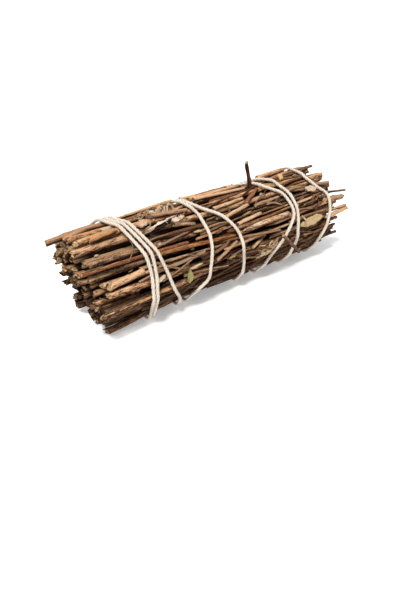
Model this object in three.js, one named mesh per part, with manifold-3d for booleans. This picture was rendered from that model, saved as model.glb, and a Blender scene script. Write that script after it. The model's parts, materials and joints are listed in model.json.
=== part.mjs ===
// A smudge stick: a bundle of dry, woody sage twigs bound with one length of cotton twine.
//
// Sizes are millimetres. +X runs along the twigs, from their cut butts to their ragged tips, +Z is up,
// and the bundle lies on the plane z = 0 with its middle over the origin. An angle round the bundle's
// axis is measured from the front (-Y) towards the top (+Z), in degrees. The bundle is worked out round
// its own axis first, and is lowered onto the plane at the end.

import * as THREE from "three";
import { mergeVertices } from "three/addons/utils/BufferGeometryUtils.js";
import Module from "manifold-3d";

const wasm = await Module();
wasm.setup();

// Driving dimensions of the bundle.
const BUNDLE_LENGTH = 121;
const BUNDLE_RADIUS = 18.2; // over the twigs, under the twine
const FLAT_DEPTH = 16.4; // from the axis to the twigs that its weight has pressed level underneath
const CLEARANCE = 0.26; // air left between any two pieces
const TWINE_RADIUS = 0.75;
const CORE_RADIUS = 14.4; // at most: where an outer twig lies deeper, the core gives way to it
const CORE_ENDS = [-50, 42];
const CORE_SIDES = 48;
const SEED = 22670;

// Where the bundle's axis stands over the middle of the space that the whole bundle takes up.
const AXIS = { x: 3.5, y: 0.17, z: 17.438 };
const PRESSED = 0.42; // how far the lowest turns of twine are pressed flat by the weight on them

// Twigs are laid from the middle outwards, in these groups. Radii are at the cut butt, and the taper is
// the tip's radius as a share of it. Drift is how far a twig may turn round the bundle over its length.
const GROUPS = {
  inner: { count: 74, radius: [1.05, 1.55], taper: [0.8, 1.0], drift: 0, sway: 0, short: 0 },
  outer: { count: 34, radius: [1.0, 1.6], taper: [0.72, 0.98], drift: 8, sway: 2.5, short: 0.1 },
  surface: { count: 12, radius: [0.65, 0.95], taper: [0.7, 0.9], drift: 24, sway: 2.5, short: 1.0 },
};

// Twigs that the photograph shows plainly on the bundle's surface: where each starts and ends along the
// bundle, and the angle that it lies at there.
const NAMED_TWIGS = {
  orange_twig: { start: -38, end: -1.5, angles: [37, 26], radius: [1.15, 1.0] },
  red_twig: { start: -64, end: -24, angles: [41, 37], radius: [1.2, 1.05] },
  forked_twig: { start: -4, end: 36, angles: [91, 86], radius: [1.0, 0.8] },
};

// Where the cut butts and the tips end. The bundle's cut end leans out at the top, and its longest tips
// are in front. Ends that the photograph shows are listed as [angle, x], for the twig nearest to each.
const BUTT_END = { x: -60.8, lean: 2.6 };
const TIP_END = { x: 51.2, spread: 9.2, onTop: 0.25 };
const WHOLE = 50; // a twig that ends further out than this isn't a broken one
const SEEN_BUTTS = [
  [117, -67.4], [76, -61.5], [58, -64], [47, -61.2], [29, -62.6], [16, -58.2], [5, -57.4], [-8, -61.4],
  [-33, -60.7],
];
const SEEN_TIPS = [
  [93, 53], [70, 51.8], [53, 51.2], [36, 60], [27, 55.2], [10, 60.4], [0, 53.6], [-15, 52.8], [-26, 54.7],
];

// The broken side shoot that stands up from the forked twig, and the one that lies over the twine.
const SHOOT = { x: 15.4, height: 12.3, radius: [0.8, 0.7], lean: { x: -1.5, y: 0.3 } };
const CROSS_TWIG = { from: { x: 17.2, angle: 10.5 }, to: { x: 28.4, angle: -21 }, radius: [0.7, 0.62] };

// The twine's route over the surface as [x, angle], from one tail to the other. Each row is one turn,
// from the top of the bundle down its front and up its back, where the next turn begins 360 degrees on.
const START_TAIL = [[-29, 168], [-34, 166.5], [-40, 167], [-45, 163], [-48, 149], [-48, 125]];
const TURNS = [
  [[-47.4, 101], [-46.3, 83], [-44.1, 61], [-42.1, 33], [-41.5, 15], [-42.0, -2], [-42.3, -12],
    [-42.0, -24], [-41.2, -45], [-41.0, -110], [-42.6, -190]],
  [[-45.5, 100], [-44.3, 83], [-42.1, 62], [-40.2, 37], [-39.8, 12], [-40.4, -2], [-40.7, -12],
    [-40.4, -24], [-39.5, -45], [-39.0, -110], [-40.5, -190]],
  [[-43.6, 101], [-42.4, 83], [-40.5, 64], [-38.1, 38], [-35.5, 15], [-33.2, -9], [-29.4, -31],
    [-27.4, -60], [-22.6, -160]],
  [[-16.7, 108], [-15.9, 83], [-14.7, 65], [-14.4, 44], [-14.8, 22], [-16.7, 0], [-17.5, -17],
    [-19.3, -23], [-21.8, -29], [-23.4, -44], [-22.8, -75], [-18.4, -160]],
  [[-14.9, 106], [-14.3, 84], [-11.3, 70], [-7.7, 60], [-3.9, 45], [-1.8, 30], [-1.5, 14],
    [-0.7, 0], [0.4, -20], [0.9, -45], [2.6, -90], [9.0, -200]],
  [[15.0, 106], [18.4, 92], [19.4, 79], [22.3, 70], [25.4, 61], [26.5, 49], [27.1, 36],
    [26.4, 27], [23.6, 16], [19.8, 1], [15.0, -15], [12.2, -38], [12.6, -90], [18.4, -200]],
  [[24.6, 105], [26.2, 87], [26.7, 73], [28.4, 61], [29.2, 45], [29.3, 36], [28.3, 22], [27.8, 8],
    [27.9, -10], [26.8, -32], [26.6, -90], [34.6, -180]],
  [[42.4, 111], [42.4, 92], [42.1, 72], [44.4, 55], [47.7, 40], [47.5, 28], [46.6, 14], [45.0, 0],
    [43.8, -14], [42.6, -32], [41.4, -90], [43.4, -140]],
];
const END_TAIL = [[43.4, -166], [40.0, -181], [34.0, -185.5], [28.5, -186]];
const TAIL_ANGLES = [158, -176]; // the start tail lies past the first, and the end tail past the second
const TWINE_STEP = 2.4;
const TWINE_SIDES = 6;
const TWINE_GAP = 0.34; // air between the twine and the twigs, which its straight steps take a little of
const TAUT_REACH = 22; // how far along the twine one twig can hold it off the next

// Dry leaves, flakes of bark and a chip of wood on the surface: where the middle lies, how long and wide,
// how far its length is turned from the bundle's, and how pointed its ends are.
const SCRAPS = {
  oval_leaf: { x: 35.3, angle: 13.2, length: 11, width: 3.5, heading: 10, point: 0.55 },
  pointed_leaf: { x: -26.1, angle: -2, length: 4.7, width: 2.4, heading: 76, point: 0.9 },
  wood_chip: { x: 32.4, angle: 88, length: 8.5, width: 2.2, heading: 52, point: 0.3 },
  tip_flake: { x: 40.1, angle: 52.3, length: 5.6, width: 2.8, heading: -22, point: 0.6 },
  bark_strip: { x: -30.4, angle: 65, length: 10.2, width: 2.2, heading: 10, point: 0.7 },
  bark_flake: { x: -37.5, angle: 71.5, length: 4.4, width: 3, heading: 8, point: 0.5 },
  back_leaf: { x: -6, angle: 166, length: 9, width: 3.8, heading: 25, point: 0.7 },
  low_leaf: { x: -8, angle: 222, length: 7.5, width: 3.2, heading: -20, point: 0.8 },
};
const SCRAP_THICKNESS = 0.7;

// Where a twig may bend, and the finer stations where its room is tested.
const KNOT_COUNT = 9;
const KNOT_FIRST = -70;
const KNOT_STEP = 16.875;
const FINE_PER_STEP = 4;
const MAX_SAG = 0.6; // the most that one knot may lie below the line between its neighbours
const LAY_ANGLES = 72; // places round the bundle that are tried for each twig
const TWIG_SIDES = 6;
const RADIANS = Math.PI / 180;

const knotX = Array.from({ length: KNOT_COUNT }, (_, k) => KNOT_FIRST + KNOT_STEP * k);
const fineCount = (KNOT_COUNT - 1) * FINE_PER_STEP + 1;
const fineStep = KNOT_STEP / FINE_PER_STEP;
const fineX = Array.from({ length: fineCount }, (_, f) => KNOT_FIRST + fineStep * f);

// A small seeded generator, so that every run lays the same bundle.
let seedState = SEED;
function random() {
  seedState = (seedState * 1664525 + 1013904223) % 4294967296;
  return seedState / 4294967296;
}
const between = (low, high) => low + (high - low) * random();
const mix = (a, b, share) => a + (b - a) * share;
const clamp = (value, low, high) => Math.min(Math.max(value, low), high);

// The way out from the axis at an angle.
const outward = (angle) => ({ y: -Math.cos(angle * RADIANS), z: Math.sin(angle * RADIANS) });

// The bundle's outline: round, and level underneath.
function outlineRadius(angle) {
  const down = -outward(angle).z;
  return down > 0 ? Math.min(BUNDLE_RADIUS, FLAT_DEPTH / down) : BUNDLE_RADIUS;
}

// A value at any x, from its values at the knots.
function atX(values, x) {
  const t = clamp((x - KNOT_FIRST) / KNOT_STEP, 0, KNOT_COUNT - 1 - 1e-9);
  const k = Math.floor(t);
  return mix(values[k], values[k + 1], t - k);
}

function twigRadius(twig, x) {
  return mix(twig.butt, twig.tip, clamp((x - twig.start) / (twig.end - twig.start), 0, 1));
}

// How far out on the ray at this angle a point stays at least reach away from (y, z).
function clearOn(ray, y, z, reach) {
  const across = y * ray.z - z * ray.y;
  if (Math.abs(across) >= reach) return 0;
  return y * ray.y + z * ray.z + Math.sqrt(reach * reach - across * across);
}

// The radius at which a new twig rests on those already laid, at one station.
function restRadius(laid, f, angle, radius) {
  const ray = outward(angle);
  let rest = 0;
  for (const twig of laid) {
    const spot = twig.fine[f];
    if (spot) rest = Math.max(rest, clearOn(ray, spot.y, spot.z, radius + spot.radius + CLEARANCE));
  }
  return rest;
}

// Raises a twig's knots until it clears every station and bridges the hollows that a dry twig won't
// bend down into.
function stiffen(knots, rests) {
  for (let round = 0; round < 6; round += 1) {
    for (let f = 0; f < fineCount; f += 1) {
      const k = Math.min(Math.floor(f / FINE_PER_STEP), KNOT_COUNT - 2);
      const share = f / FINE_PER_STEP - k;
      const lack = rests[f] - mix(knots[k], knots[k + 1], share);
      if (lack > 0) {
        if (share < 1) knots[k] += lack;
        if (share > 0) knots[k + 1] += lack;
      }
    }
    for (let k = 1; k < KNOT_COUNT - 1; k += 1) {
      knots[k] = Math.max(knots[k], (knots[k - 1] + knots[k + 1]) / 2 - MAX_SAG);
    }
  }
}

// Finds how far out a twig lies, once it is known where it runs, and how full the bundle is there.
function settle(laid, twig, angles, straight) {
  const rests = fineX.map((x, f) => restRadius(laid, f, atX(angles, x), twigRadius(twig, x)));
  const first = fineX.findIndex((x) => x > twig.start) - 1;
  const last = fineX.findIndex((x) => x >= twig.end);
  rests.fill(rests[first], 0, first);
  rests.fill(rests[last], last + 1);
  let knots = knotX.map((x, k) => rests[k * FINE_PER_STEP]);
  if (straight) knots = knots.map(() => Math.max(...rests));
  else stiffen(knots, rests);
  const covered = fineX.filter((x) => x >= twig.start && x <= twig.end);
  const fill = (x) => (atX(knots, x) + twig.butt) / outlineRadius(atX(angles, x));
  const fullness = covered.reduce((sum, x) => sum + fill(x), 0) / covered.length;
  return { angles, knots, fullness };
}

// Fixes a settled twig in place, with its discs at the fine stations for the twigs that come after.
function place(twig, settled) {
  twig.y = settled.knots.map((radius, k) => radius * outward(settled.angles[k]).y);
  twig.z = settled.knots.map((radius, k) => radius * outward(settled.angles[k]).z);
  twig.fine = fineX.map((x) => {
    if (x < twig.start - fineStep || x > twig.end + fineStep) return null;
    return { y: atX(twig.y, x), z: atX(twig.z, x), radius: twigRadius(twig, x) };
  });
  return twig;
}

// Lays one twig of a group in the deepest valley that is left for it.
function layTwig(laid, group) {
  const butt = between(...group.radius);
  const tip = butt * between(...group.taper);
  const drift = between(-group.drift, group.drift);
  const sway = between(-group.sway, group.sway);
  const swayPhase = between(0, 360);
  const buttOffset = between(-2.4, 2.4);
  const tipReach = random();
  const isShort = random() < group.short;
  const shortStart = between(-56, 20);
  const shortLength = between(34, 62);
  const firstAngle = between(0, 360 / LAY_ANGLES);
  const reach = 51.5 + 9.5 * tipReach * tipReach;
  let best = null;
  for (let tried = 0; tried < LAY_ANGLES; tried += 1) {
    const angle = firstAngle + (tried * 360) / LAY_ANGLES;
    const start = isShort ? shortStart : -60 - 3.2 * Math.max(0, outward(angle).z) + buttOffset;
    const end = isShort ? Math.min(shortStart + shortLength, reach) : reach;
    const turned = (x) => (drift * x) / BUNDLE_LENGTH + sway * Math.sin((x * 2.6 + swayPhase) * RADIANS);
    const onTop = clamp(2 * outward(angle).z - 0.9, 0, 1);
    const tipEnd = TIP_END.x + TIP_END.spread * tipReach * tipReach * mix(1, TIP_END.onTop, onTop);
    const twig = { butt, tip, start, end };
    twig.shown = [
      isShort ? start : BUTT_END.x - BUTT_END.lean * outward(angle).z + 0.8 * buttOffset,
      isShort ? Math.min(end, tipEnd) : tipEnd,
    ];
    const settled = settle(laid, twig, knotX.map((x) => angle + turned(x)), group.drift === 0);
    if (best === null || settled.fullness < best.settled.fullness) best = { twig, settled };
  }
  return place(best.twig, best.settled);
}

// Lays a twig where the photograph shows it.
function layNamedTwig(laid, spec) {
  const twig = { butt: spec.radius[0], tip: spec.radius[1], start: spec.start, end: spec.end };
  twig.shown = [spec.start, spec.end];
  const share = (x) => clamp((x - spec.start) / (spec.end - spec.start), 0, 1);
  return place(twig, settle(laid, twig, knotX.map((x) => mix(...spec.angles, share(x))), false));
}

const number = (i) => String(i + 1).padStart(2, "0");
const twigs = [];
for (const [group, settings] of Object.entries(GROUPS)) {
  if (group === "outer") {
    for (const [name, spec] of Object.entries(NAMED_TWIGS)) {
      twigs.push({ ...layNamedTwig(twigs, spec), name });
    }
  }
  for (let i = 0; i < settings.count; i += 1) {
    twigs.push({ ...layTwig(twigs, settings), name: `${group}_twig_${number(i)}` });
  }
}

// Gives the twigs whose ends the photograph shows the ends that it shows.
function showEnds(seen, end) {
  const whole = twigs.filter((twig) => twig.name.startsWith("outer") && Math.abs(twig.shown[end]) > WHOLE);
  for (const [angle, x] of seen) {
    const apart = (twig) => {
      const at = twig.shown[end];
      const turned = Math.atan2(atX(twig.z, at), -atX(twig.y, at)) / RADIANS - angle;
      return Math.abs(((turned % 360) + 540) % 360 - 180);
    };
    whole.reduce((best, twig) => (apart(twig) < apart(best) ? twig : best)).shown[end] = x;
  }
}
showEnds(SEEN_BUTTS, 0);
showEnds(SEEN_TIPS, 1);

// The twig's centre and radius at any x, or null where it has already ended.
function twigAt(twig, x, margin = 0.6) {
  if (x < twig.start - margin || x > twig.end + margin) return null;
  return { y: atX(twig.y, x), z: atX(twig.z, x), radius: twigRadius(twig, x) };
}

// How far out a point must lie on the surface to clear every twig at x by the reach given.
function surfaceRadius(solids, x, angle, reach) {
  const ray = outward(angle);
  let radius = 0;
  for (const twig of solids) {
    const spot = twigAt(twig, x);
    if (spot) radius = Math.max(radius, clearOn(ray, spot.y, spot.z, spot.radius + reach));
  }
  return radius;
}

// Drops a route onto the surface and pulls it taut: it spans each hollow in a straight line.
function tautRoute(route, solidsAt, spacing) {
  const develop = ([x, angle]) => new THREE.Vector3(x, angle * RADIANS * BUNDLE_RADIUS, 0);
  const flat = new THREE.CatmullRomCurve3(route.map(develop));
  const steps = Math.round(flat.getLength() / spacing);
  flat.arcLengthDivisions = steps * 4;
  const spots = flat.getSpacedPoints(steps).map(({ x, y }) => ({ x, angle: y / RADIANS / BUNDLE_RADIUS }));
  const reach = TWINE_RADIUS + TWINE_GAP;
  const dropped = spots.map(({ x, angle }) => surfaceRadius(solidsAt(angle), x, angle, reach));
  const section = (i) => {
    const { y, z } = outward(spots[i].angle);
    return { y: dropped[i] * y, z: dropped[i] * z };
  };
  const window = Math.round(TAUT_REACH / spacing);
  const taut = [...dropped];
  for (let j = 0; j < spots.length; j += 1) {
    for (let k = j + 2; k < Math.min(j + window, spots.length); k += 1) {
      const from = section(j);
      const to = section(k);
      for (let i = j + 1; i < k; i += 1) {
        const share = (i - j) / (k - j);
        taut[i] = Math.max(taut[i], Math.hypot(mix(from.y, to.y, share), mix(from.z, to.z, share)));
      }
    }
  }
  return spots.map(({ x, angle }, i) => {
    const { y, z } = outward(angle);
    return new THREE.Vector3(x, taut[i] * y, taut[i] * z);
  });
}

// A tail as something that later turns pass over: a thin rod along x, told by its ends.
function tailRod(points) {
  const [a, b] = [points[0], points.at(-1)];
  const line = (key) => knotX.map((x) => mix(a[key], b[key], (x - a.x) / (b.x - a.x)));
  const bulge = Math.max(...points.map((point) => Math.hypot(
    point.y - mix(a.y, b.y, (point.x - a.x) / (b.x - a.x)),
    point.z - mix(a.z, b.z, (point.x - a.x) / (b.x - a.x)),
  )));
  const radius = TWINE_RADIUS + bulge;
  const [start, end] = [Math.min(a.x, b.x), Math.max(a.x, b.x)];
  return { start, end, butt: radius, tip: radius, y: line("y"), z: line("z") };
}

// The whole length of twine. Both tails lie on the twigs, and the turns over them hold them down.
function twineRoute() {
  const tails = [START_TAIL.slice(0, 3), END_TAIL.slice(1)];
  const rods = tails.map((tail) => tailRod(tautRoute(tail, () => twigs, 1)));
  const lastTurn = -360 * (TURNS.length - 1);
  const turns = TURNS.flatMap((turn, k) => turn.map(([x, angle]) => [x, angle - 360 * k]));
  const foot = END_TAIL.map(([x, angle]) => [x, angle + lastTurn]);
  const held = [...twigs, ...rods];
  const solidsAt = (angle) => (angle > TAIL_ANGLES[0] || angle < lastTurn + TAIL_ANGLES[1] ? twigs : held);
  const fine = tautRoute([...START_TAIL, ...turns, ...foot], solidsAt, TWINE_STEP / FINE_PER_STEP);
  return fine.filter((_, i) => i % FINE_PER_STEP === 0);
}

// The triangles that close a ring: all from its first corner, or in strips from one half of the ring to
// the other, because a thin curved ring would cross a fan.
const fanned = (ring) => ring.slice(2).map((corner, j) => [ring[0], ring[j + 1], corner]);
const inStrips = (ring) => ring.slice(1, ring.length / 2).flatMap((corner, j) => {
  const across = ring.at(-j - 2);
  return [[ring[j], corner, across], [ring[j], across, ring.at(-j - 1)]];
});

// A closed solid through a row of rings, each with the same even number of points, turning from +Y to +Z
// as seen against the way that the rings follow each other. Each half of a ring is split into triangles
// the way that the other half is, so that the two faces of a thin curved scrap can't cross.
function ringSolid(rings, closed = inStrips) {
  const sides = rings[0].length;
  const faces = [...closed(rings[0]).map((face) => face.toReversed()), ...closed(rings.at(-1))];
  for (let i = 0; i + 1 < rings.length; i += 1) {
    for (let j = 0; j < sides; j += 1) {
      const next = (j + 1) % sides;
      const [a, b, c, d] = [rings[i][j], rings[i][next], rings[i + 1][next], rings[i + 1][j]];
      if (j < sides / 2) faces.push([a, b, d], [b, c, d]);
      else faces.push([a, b, c], [a, c, d]);
    }
  }
  const corners = faces.flat().flatMap((corner) => corner.toArray());
  const geometry = new THREE.BufferGeometry();
  geometry.setAttribute("position", new THREE.Float32BufferAttribute(corners, 3));
  return mergeVertices(geometry, 1e-4);
}

function toSolid(geometry) {
  const vertProperties = new Float32Array(geometry.attributes.position.array);
  const triVerts = new Uint32Array(geometry.index.array);
  return new wasm.Manifold(new wasm.Mesh({ numProp: 3, vertProperties, triVerts }));
}

function toGeometry(solid) {
  const { vertProperties, triVerts } = solid.getMesh();
  const geometry = new THREE.BufferGeometry();
  geometry.setAttribute("position", new THREE.BufferAttribute(vertProperties, 3));
  geometry.setIndex(new THREE.BufferAttribute(triVerts, 1));
  return geometry;
}

// The six-sided ring of a twig at x, in the plane that the axis stands square to.
function twigRing(twig, x, turn) {
  const [y, z, radius] = [atX(twig.y, x), atX(twig.z, x), twigRadius(twig, x)];
  return Array.from({ length: TWIG_SIDES }, (_, j) => {
    const angle = turn + (j * 2 * Math.PI) / TWIG_SIDES;
    return new THREE.Vector3(x, y + radius * Math.cos(angle), z + radius * Math.sin(angle));
  });
}

function twigGeometry(twig) {
  const turn = between(0, Math.PI);
  const [start, end] = twig.shown;
  const bends = knotX.filter((x) => x > start + 1 && x < end - 1);
  return ringSolid([start, ...bends, end].map((x) => twigRing(twig, x, turn)));
}

// A straight tapered shoot between two points.
function shootGeometry(from, to, radii) {
  const axis = to.clone().sub(from).normalize();
  const side = new THREE.Vector3(axis.y, -axis.x, 0).normalize();
  const up = axis.clone().cross(side);
  const ring = (centre, radius) => Array.from({ length: TWIG_SIDES }, (_, j) => {
    const angle = (j * 2 * Math.PI) / TWIG_SIDES;
    const spot = centre.clone().addScaledVector(side, radius * Math.cos(angle));
    return spot.addScaledVector(up, radius * Math.sin(angle));
  });
  return ringSolid([ring(from, radii[0]), ring(to, radii[1])]);
}

// The core's outline, which keeps clear of every twig that lies round it.
function coreRing(x) {
  const outer = twigs.filter((twig) => !twig.name.startsWith("inner"));
  const discs = outer.flatMap((twig) => fineX.map((at) => twigAt(twig, at))).filter(Boolean);
  return Array.from({ length: CORE_SIDES }, (_, j) => {
    const angle = (-j * 360) / CORE_SIDES;
    const near = discs.map(({ y, z, radius }) => {
      const distance = Math.hypot(y, z);
      const turned = Math.atan2(z, -y) / RADIANS - angle;
      const apart = Math.abs(((turned % 360) + 540) % 360 - 180);
      const width = Math.asin((radius + CLEARANCE) / distance) / RADIANS + 240 / CORE_SIDES;
      return apart < width ? distance - radius - 1.5 * CLEARANCE : CORE_RADIUS;
    });
    const reach = Math.min(CORE_RADIUS, ...near);
    return new THREE.Vector3(x, reach * outward(angle).y, reach * outward(angle).z);
  });
}

// The twigs inside the bundle, which show only at its ends, with the core that they stand out of.
function innerTwigs() {
  const solids = twigs.filter((twig) => twig.name.startsWith("inner")).map((twig) => {
    const turn = between(0, Math.PI);
    return toSolid(ringSolid(twig.shown.map((x) => twigRing(twig, x, turn))));
  });
  return toGeometry(wasm.Manifold.union([toSolid(ringSolid(CORE_ENDS.map(coreRing), fanned)), ...solids]));
}

// The twig along the top with a broken side shoot that stands up from it.
function forkedTwig(twig) {
  const { y, z } = twigAt(twig, SHOOT.x);
  const from = new THREE.Vector3(SHOOT.x, y, z);
  const to = from.clone().add(new THREE.Vector3(SHOOT.lean.x, SHOOT.lean.y, SHOOT.height));
  return toGeometry(toSolid(twigGeometry(twig)).add(toSolid(shootGeometry(from, to, SHOOT.radius))));
}

// The twig that lies over the twine: a straight one, lifted until it clears all that it lies on.
function crossTwig(twine) {
  const { from, to, radius } = CROSS_TWIG;
  const ends = (lift) => [from, to].map(({ x, angle }) => {
    const { y, z } = outward(angle);
    return new THREE.Vector3(x, (BUNDLE_RADIUS + lift) * y, (BUNDLE_RADIUS + lift) * z);
  });
  const isClear = ([a, b]) => {
    for (let share = 0; share <= 1; share += 0.05) {
      const spot = a.clone().lerp(b, share);
      const reach = mix(...radius, share) + CLEARANCE;
      if (twine.some((point) => point.distanceTo(spot) < reach + TWINE_RADIUS + 0.35)) return false;
      const angle = Math.atan2(spot.z, -spot.y) / RADIANS;
      if (surfaceRadius(twigs, spot.x, angle, reach) > Math.hypot(spot.y, spot.z)) return false;
    }
    return true;
  };
  let lift = 0;
  while (!isClear(ends(lift))) lift += 0.05;
  return shootGeometry(...ends(lift), radius);
}

// A thin curved scrap on the surface: a leaf, a flake of bark or a chip.
function scrapGeometry({ x, angle, length, width, heading, point }) {
  const stations = 9;
  const columns = 4;
  const grid = Array.from({ length: stations }, (_, i) => {
    const u = (2 * i) / (stations - 1) - 1;
    const half = (width / 2) * Math.max((1 - Math.abs(u) ** 2.2) ** point, 0.12);
    return Array.from({ length: columns }, (_, j) => {
      const v = half * ((2 * j) / (columns - 1) - 1) * (1 + 0.12 * Math.sin(9 * u + j));
      const across = (u * length) / 2;
      const turn = heading * RADIANS;
      const round = across * Math.sin(turn) + v * Math.cos(turn);
      return {
        u,
        x: x + across * Math.cos(turn) - v * Math.sin(turn),
        angle: angle + round / BUNDLE_RADIUS / RADIANS,
      };
    });
  });
  const reach = CLEARANCE + 0.1;
  const need = (spots) => Math.max(...spots.map((spot) => surfaceRadius(twigs, spot.x, spot.angle, reach)));
  const ends = [need(grid[0]), need(grid.at(-1))];
  const level = (u) => mix(...ends, (u + 1) / 2);
  const lift = Math.max(...grid.map((spots) => need(spots) - level(spots[0].u)));
  const at = (spot, rise) => {
    const radius = level(spot.u) + Math.max(lift, 0) + rise;
    return new THREE.Vector3(spot.x, radius * outward(spot.angle).y, radius * outward(spot.angle).z);
  };
  return ringSolid(grid.map((spots) => [
    ...spots.map((spot) => at(spot, 0)),
    ...spots.toReversed().map((spot) => at(spot, SCRAP_THICKNESS)),
  ]));
}

// The twine as a six-sided cord, pressed flat where it carries the bundle.
function twineGeometry(points) {
  const floor = Math.min(...points.map((point) => point.z)) - TWINE_RADIUS + PRESSED;
  const rings = points.map((point, i) => {
    const ahead = points[Math.min(i + 1, points.length - 1)];
    const behind = points[Math.max(i - 1, 0)];
    const tangent = ahead.clone().sub(behind).normalize();
    const out = new THREE.Vector3(0, point.y, point.z);
    out.addScaledVector(tangent, -out.dot(tangent)).normalize();
    const side = tangent.clone().cross(out);
    return Array.from({ length: TWINE_SIDES }, (_, j) => {
      const angle = ((j + 0.5) * 2 * Math.PI) / TWINE_SIDES;
      const spot = point.clone().addScaledVector(out, TWINE_RADIUS * Math.cos(angle));
      spot.addScaledVector(side, TWINE_RADIUS * Math.sin(angle));
      spot.z = Math.max(spot.z, floor);
      return spot;
    });
  });
  return ringSolid(rings);
}

const FINISHES = {
  bark: { color: 0x7a5c42, roughness: 0.85 },
  orange_bark: { color: 0xa8653a, roughness: 0.8 },
  red_bark: { color: 0x6e3f2e, roughness: 0.8 },
  cotton: { color: 0xe9dfcc, roughness: 0.95 },
  leaf: { color: 0x93875a, roughness: 0.75 },
  wood: { color: 0xd2b083, roughness: 0.8 },
};
const materials = Object.fromEntries(
  Object.entries(FINISHES).map(([name, { color, roughness }]) => [
    name,
    new THREE.MeshStandardMaterial({ name, color, roughness, metalness: 0 }),
  ]),
);

const bundle = new THREE.Group();
bundle.name = "sage_bundle";
bundle.position.set(AXIS.x, AXIS.y, AXIS.z);
function addPiece(name, geometry, finish) {
  const mesh = new THREE.Mesh(geometry, materials[finish]);
  mesh.name = name;
  bundle.add(mesh);
}

addPiece("inner_twigs", innerTwigs(), "bark");
const twigFinish = { orange_twig: "orange_bark", red_twig: "red_bark" };
for (const twig of twigs) {
  if (twig.name.startsWith("inner")) continue;
  const geometry = twig.name === "forked_twig" ? forkedTwig(twig) : twigGeometry(twig);
  addPiece(twig.name, geometry, twigFinish[twig.name] ?? "bark");
}
const twine = twineRoute();
addPiece("twine", twineGeometry(twine), "cotton");
addPiece("cross_twig", crossTwig(twine), "bark");
for (const [name, scrap] of Object.entries(SCRAPS)) {
  addPiece(name, scrapGeometry(scrap), name.endsWith("leaf") ? "leaf" : "wood");
}

export default bundle;
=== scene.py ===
# %% [markdown]
# # A bundle of dry sage twigs, bound with cotton twine
#
# The solids of the bundle are already made, in millimetres, by another program. Here they become a
# picture: each plain twig gets its bark, the twine its twist and the leaves their veins. Nothing moves
# from where the solids are, and everything below is in metres, as Blender has it.

# %% Load the solid model
import json
import math

import bpy
import numpy as np
from mathutils import Matrix, Vector


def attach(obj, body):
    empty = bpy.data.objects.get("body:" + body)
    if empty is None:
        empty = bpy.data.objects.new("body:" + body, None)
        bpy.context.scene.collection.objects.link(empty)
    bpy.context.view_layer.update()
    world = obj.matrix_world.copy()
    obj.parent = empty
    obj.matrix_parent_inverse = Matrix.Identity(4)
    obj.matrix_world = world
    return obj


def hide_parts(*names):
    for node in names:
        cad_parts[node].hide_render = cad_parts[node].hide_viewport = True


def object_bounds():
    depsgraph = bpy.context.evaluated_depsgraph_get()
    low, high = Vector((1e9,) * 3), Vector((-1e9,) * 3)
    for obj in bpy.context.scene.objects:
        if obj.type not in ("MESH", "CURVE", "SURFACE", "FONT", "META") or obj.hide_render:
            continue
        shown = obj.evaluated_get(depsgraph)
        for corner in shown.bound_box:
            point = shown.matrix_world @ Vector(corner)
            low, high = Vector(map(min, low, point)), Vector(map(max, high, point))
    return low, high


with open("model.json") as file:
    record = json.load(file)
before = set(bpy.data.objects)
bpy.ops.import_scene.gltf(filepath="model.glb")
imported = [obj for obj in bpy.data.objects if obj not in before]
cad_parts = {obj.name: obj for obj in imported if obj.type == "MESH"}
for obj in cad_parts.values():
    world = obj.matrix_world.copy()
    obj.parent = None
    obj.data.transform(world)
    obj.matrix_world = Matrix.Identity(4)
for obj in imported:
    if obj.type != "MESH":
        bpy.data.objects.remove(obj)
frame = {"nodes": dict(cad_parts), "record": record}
cad_box = [list(corner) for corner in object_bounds()]
MM = 0.001
box_mm = [[round(value / MM, 1) for value in corner] for corner in cad_box]
print("nodes:", len(frame["nodes"]), "box in mm:", box_mm)

# %% [markdown]
# ## Camera
#
# The camera's place comes from the photograph: a camera and a round bar were fitted to the outline of
# the bundle and to the curve of each turn of twine. The lens is the one that gives the same perspective.

# %% Camera
AXIS = Vector((3.5, 0.17, 17.438)) * MM  # the bundle's own axis, at the middle of its length
CAMERA_PLACE = AXIS + Vector((-118.39, -152.45, 99.58)) * MM
CAMERA_RIGHT = Vector((0.8102, -0.5862, 0.0))
CAMERA_LOOK = Vector((0.4846, 0.6699, -0.5625))
CAMERA_LENS = 31.59  # mm, on a sensor 36 mm along the picture's longer side

camera_data = bpy.data.cameras.new("camera")
camera_data.lens = CAMERA_LENS
camera_data.clip_start = 0.01
camera = bpy.data.objects.new("camera", camera_data)
bpy.context.scene.collection.objects.link(camera)
right = CAMERA_RIGHT.normalized()
look = (CAMERA_LOOK - right * CAMERA_LOOK.dot(right)).normalized()
turned = Matrix((right, right.cross(look), -look)).transposed()
camera.matrix_world = Matrix.Translation(CAMERA_PLACE) @ turned.to_4x4()
bpy.context.scene.camera = camera
print("camera to the bundle's middle, mm:", round((CAMERA_PLACE - AXIS).length / MM))

# %% [markdown]
# ## Floor and light
#
# The photograph is a bright studio picture on white. A high, rather small light makes the bright upper
# edges and the black gaps between the twigs, helped by the shade and highlights painted on the bark, and
# a weak one behind keeps the far side from going dark. Both are suns, which light the whole floor alike,
# so that it stays white to the top of the picture.

# %% Floor and light
SKY_STRENGTH = 0.38
SUNS = {  # where each light comes from, its strength and how wide it looks, in degrees
    "key light": ((-0.34, -0.22, 0.90), 3.4, 14),
    "back light": ((0.60, 0.70, 0.55), 0.7, 40),
}

bpy.ops.mesh.primitive_plane_add(size=8)
floor = bpy.context.object
floor.name = "floor"
for name, (place, strength, width) in SUNS.items():
    sun = bpy.data.lights.new(name, "SUN")
    sun.energy = strength
    sun.angle = math.radians(width)
    lamp = bpy.data.objects.new(name, sun)
    lamp.rotation_euler = (-Vector(place)).to_track_quat("-Z", "Y").to_euler()
    bpy.context.scene.collection.objects.link(lamp)

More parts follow.
